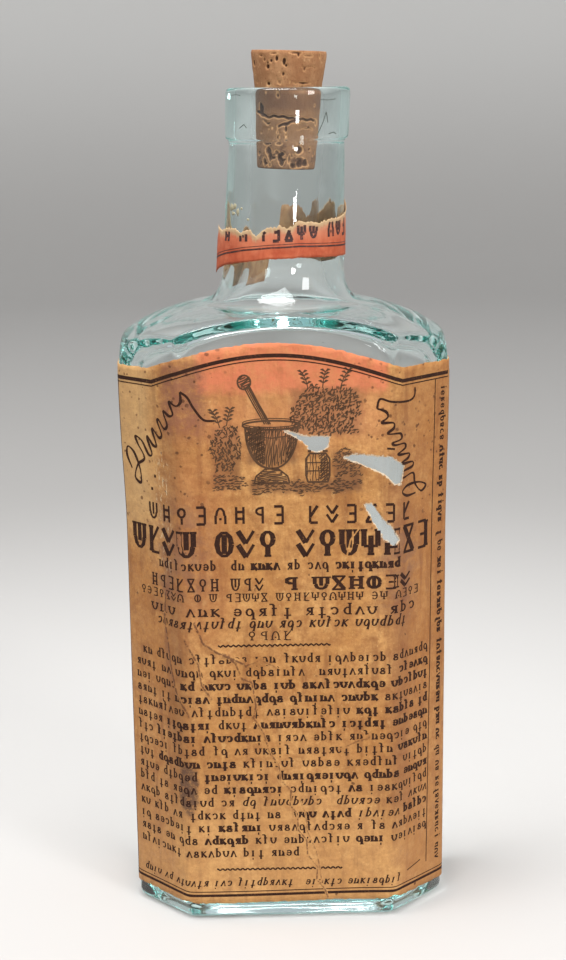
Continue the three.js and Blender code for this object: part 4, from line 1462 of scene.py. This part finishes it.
def seal_material():
    """Faded red-orange with a washed-out, fibrous torn edge, and brown glue on its back."""
    nodes = Nodes("torn_seal_paper")
    along, z, tear = nodes.split(nodes.attribute("sheet"))
    place = nodes.node("ShaderNodeCombineXYZ", {0: along, 1: z})
    tone = nodes.mix(nodes.lumps(place, 4, 0.3, 0.7, detail=4), srgb(180, 80, 50), srgb(206, 108, 72))
    tone = nodes.mottled(tone, place, SEAL_MOTTLES)
    wash = nodes.between(tear, 0.8, 5.5, 0.55, 0.0)
    tone = nodes.tint(tone, nodes.between(along, -34, -20, 0.35, 1.0), wash, (222, 156, 122))
    fibre = nodes.waver(place, 1.5, 2.8, detail=6, roughness=0.8)
    fringe = nodes.between(nodes.math("ADD", tear, fibre), 0.3, 1.9, 1.0, 0.0)
    cream = nodes.mix(nodes.noise(place, 0.7, detail=4), srgb(186, 146, 104), srgb(224, 196, 156))
    tone = nodes.mix(fringe, tone, cream)
    grime = nodes.lumps(place, 0.8, 0.6, 0.72, detail=6, roughness=0.8)
    tone = nodes.tint(tone, 0.4, grime, (120, 62, 42))
    patches = nodes.lumps(place, 3, 0.35, 0.65, detail=5, roughness=0.7)
    glue = nodes.mix(patches, srgb(142, 98, 66), srgb(176, 132, 94))
    back = nodes.between(nodes.attribute("back", output="Fac"), 0.4, 0.9)
    grain = nodes.noise(place, 0.4, detail=5)
    height = nodes.math("MULTIPLY_ADD", grain, 0.5, nodes.math("MULTIPLY", fringe, -0.25))
    nodes.set(Base_Color=nodes.mix(back, tone, glue), Roughness=0.72, Specular_IOR_Level=0.3)
    nodes.set(Normal=nodes.bump(height, 0.6, 0.15))
    return nodes.material


def add_seal():
    """A closed loop of rings: up the paper's outside, and down its glue side."""
    draw = random.Random(19)
    columns, rows = 420, 22
    degrees = np.linspace(-180, 180, columns, endpoint=False)
    nibble = np.array([draw.gauss(0, 0.16) for _ in degrees])
    nibble = (nibble + np.roll(nibble, 1)) / 1.6
    top = seal_top(degrees) + nibble + 0.22 * ripple(degrees * 0.24, 0, 0, 2.6, 53)
    bottom = seal_bottom(degrees) + 0.25 * nibble + 0.08 * ripple(degrees * 0.24, 0, 0, 4, 54)
    along = np.radians(degrees) * SEAL_RADIUS
    heights = [bottom + (top - bottom) * share for share in np.linspace(0, 1, rows) ** 0.85]
    outside = [seal_surface(along, z, SEAL_THICK) for z in heights]
    glue_side = [seal_surface(along, z, 0.0) for z in heights[::-1]]
    firsts = [row * columns for row in range(2 * rows)]
    faces = []
    for low, high in zip(firsts, firsts[1:] + firsts[:1]):
        faces += band_faces(low, high, columns)
    sheet = np.concatenate([np.stack([along, z, top - z], -1) for z in heights + heights[::-1]])
    weights = {"sheet": sheet, "back": np.repeat([0.0, 1.0], rows * columns)}
    points, material = np.concatenate(outside + glue_side), seal_material()
    piece = add_piece("neck_seal_paper", points, faces, material, "bottle", weights=weights)
    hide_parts("neck_seal")


def seal_outside(along, z, off):
    return seal_surface(along, z, SEAL_THICK + off)


def below_seal_tear(along, z):
    degrees = math.degrees(along / SEAL_RADIUS)
    return z < seal_top(degrees) - SEAL_BARE_EDGE


def add_seal_print():
    """A double rule, and what the tear left of a line of marks."""
    ink = Ink(seal_outside, random.Random(23), allowed=below_seal_tear)
    for lift, width in ((0, 0.34), (0.6, 0.13)):
        ink.stroke(round_neck(SEAL_RULE, lift), width)
    start, end = round_neck([(-157, 150.5), (-14, 150.5)])
    set_line(ink, start, end[0] - start[0], 3.7, words_of(SEAL_SANS, 1, 1, 5, 3), turn=2.0)
    nodes = Nodes("seal_ink")
    worn = nodes.lumps(nodes.object_mm(), 0.5, 0.5, 0.7, detail=5, roughness=0.7)
    nodes.set(Base_Color=nodes.mix(worn, srgb(58, 32, 30), srgb(150, 72, 54)), Roughness=0.6)
    ink.piece("neck_seal_print", nodes.material, "seal_paper")


def add_glue_trace():
    """Scraps of dried glue and paper that stayed on the neck above the tear."""
    draw = random.Random(29)
    count = 22
    points, faces = [], []
    for degrees, z, half_width, half_height in GLUE_SCRAPS:
        middle = round_neck([(degrees, z)])
        loop = []
        for i in range(count):
            turn, reach = 2 * math.pi * i / count, draw.uniform(0.55, 1.1)
            along = middle[0][0] + half_width * reach * math.cos(turn)
            loop.append((along, z + half_height * reach * math.sin(turn)))
        faces += loft_faces(2, count, first=len(points))
        for off, row in ((-0.02, middle), (-0.02, loop), (0.07, loop), (0.1, middle)):
            points += on_neck(*np.array(row).T, -0.03, off).tolist()
    nodes = Nodes("dried_glue")
    uneven = nodes.noise(nodes.object_mm(), 0.8, detail=5, roughness=0.7)
    nodes.set(Base_Color=nodes.mix(uneven, srgb(146, 136, 104), srgb(196, 186, 156)), Roughness=0.6)
    add_piece("neck_glue_trace", points, faces, nodes.material, "bottle")


def grit_material():
    nodes = Nodes("grit_in_glass")
    uneven = nodes.noise(nodes.object_mm(), 0.5)
    nodes.set(Base_Color=nodes.mix(uneven, srgb(52, 60, 54), srgb(96, 104, 94)), Roughness=0.4)
    return nodes.material


def add_hair_lines(material):
    ink = Ink(lambda along, z, off: on_neck(along, z, -0.05, off))
    for width, path in HAIR_LINES:
        ink.stroke(round_neck(path), width)
    ink.piece("lip_hair_lines", material, "glass")


def add_seeds(material):
    """Specks of grit just under the shoulder's surface: one large one and ten small."""
    draw = random.Random(61)
    sides = 6
    seeds = [(-158, 130, 0.42)]
    for _ in range(10):
        seeds.append((draw.uniform(-172, -8), draw.uniform(121, 134), draw.uniform(0.1, 0.2)))
    points, faces = [], []
    for degrees, height, size in seeds:
        angle = math.radians(degrees)
        at_surface = glass_row(np.array([angle]), 0, outer_limit(height), height)[0]
        centre = at_surface - 0.25 * np.array([math.cos(angle), math.sin(angle), 0.8])
        faces += loft_faces(1, sides, first=len(points))
        for turn, tall in [(0, -1)] + [(t, 0) for t in range(sides)] + [(0, 1)]:
            bearing, reach = turn * math.pi / 3 + angle, 0 if tall else size
            away = (reach * 1.4 * math.cos(bearing), reach * math.sin(bearing), tall * size * 0.4)
            points.append(centre + away)
    add_piece("shoulder_seeds", points, faces, material, "bottle")


add_seal()
add_seal_print()
add_glue_trace()
grit = grit_material()
add_hair_lines(grit)
add_seeds(grit)

# ---- stage and light, in metres ----

FLOOR_REACH, SWEEP, WALL_TOP = 1.1, 0.5, 1.3
MOST_BOUNCES = 32  # thick glass goes black where light takes more turns than this


def floor_material():
    """Pale, and darker away from the bottle."""
    nodes = Nodes("pale_floor")
    place = nodes.object_mm()
    height = nodes.split(place)[2]
    away = nodes.between(nodes.length(place), 110, 420)
    ground = nodes.mix(away, srgb(208, 205, 202), srgb(176, 173, 170))
    wall_share = nodes.between(height, 10, 300)
    nodes.set(Base_Color=nodes.mix(wall_share, ground, srgb(216, 214, 211)), Roughness=0.85)
    return nodes.material


def add_stage():
    """A pale floor that sweeps up into a pale wall all round."""
    profile = [(reach, 0.0) for reach in (0.2, 0.6, FLOOR_REACH)]
    for turn in np.linspace(0, math.pi / 2, 10)[1:]:
        profile.append((FLOOR_REACH + SWEEP * math.sin(turn), SWEEP * (1 - math.cos(turn))))
    profile.append((FLOOR_REACH + SWEEP, WALL_TOP))
    columns = 96
    turns = np.arange(columns) / columns * 2 * math.pi
    rings = [np.stack([r * np.cos(turns), r * np.sin(turns), np.full(columns, z)], -1) for r, z in profile]
    faces = [(0, 1 + i, 1 + (i + 1) % columns) for i in range(columns)]
    for low in range(1, (len(rings) - 1) * columns, columns):
        band = band_faces(low, low + columns, columns)
        faces += [(a, d, c, b) for a, b, c, d in band]  # turned over, to face up and inwards
    mesh = bpy.data.meshes.new("floor")
    mesh.from_pydata(np.concatenate([[[0, 0, 0]], *rings]).tolist(), [], faces)
    mesh.shade_smooth()
    mesh.materials.append(floor_material())
    floor = bpy.data.objects.new("floor", mesh)
    bpy.context.scene.collection.objects.link(floor)


def add_area_light(name, place, target, size, watts):
    light = bpy.data.lights.new(name, "AREA")
    light.shape, light.size, light.size_y = "RECTANGLE", size[0], size[1]
    light.energy = watts
    lamp = bpy.data.objects.new(name, light)
    lamp.location = place
    lamp.rotation_mode = "QUATERNION"
    lamp.rotation_quaternion = (Vector(target) - Vector(place)).to_track_quat("-Z", "Y")
    bpy.context.scene.collection.objects.link(lamp)


def add_light():
    scene = bpy.context.scene
    world = bpy.data.worlds.new("studio")
    world.use_nodes = True
    background = world.node_tree.nodes["Background"].inputs
    background["Color"].default_value = (0.9, 0.95, 1.0, 1)
    background["Strength"].default_value = 0.58
    scene.world = world
    middle = (0, 0, 0.09)
    add_area_light("overhead", (-0.15, -0.25, 1.1), middle, (0.7, 0.5), 13.5)
    add_area_light("window", (0.75, -0.85, 0.45), middle, (0.25, 0.5), 5)
    add_area_light("strip", (0.27, -0.86, 0.131), (0, 0, 0.15), (0.1, 0.035), 0.3)
    scene.cycles.max_bounces = MOST_BOUNCES
    scene.cycles.transmission_bounces = MOST_BOUNCES
    scene.cycles.glossy_bounces = MOST_BOUNCES
    scene.view_settings.view_transform = "Standard"


add_stage()
add_light()
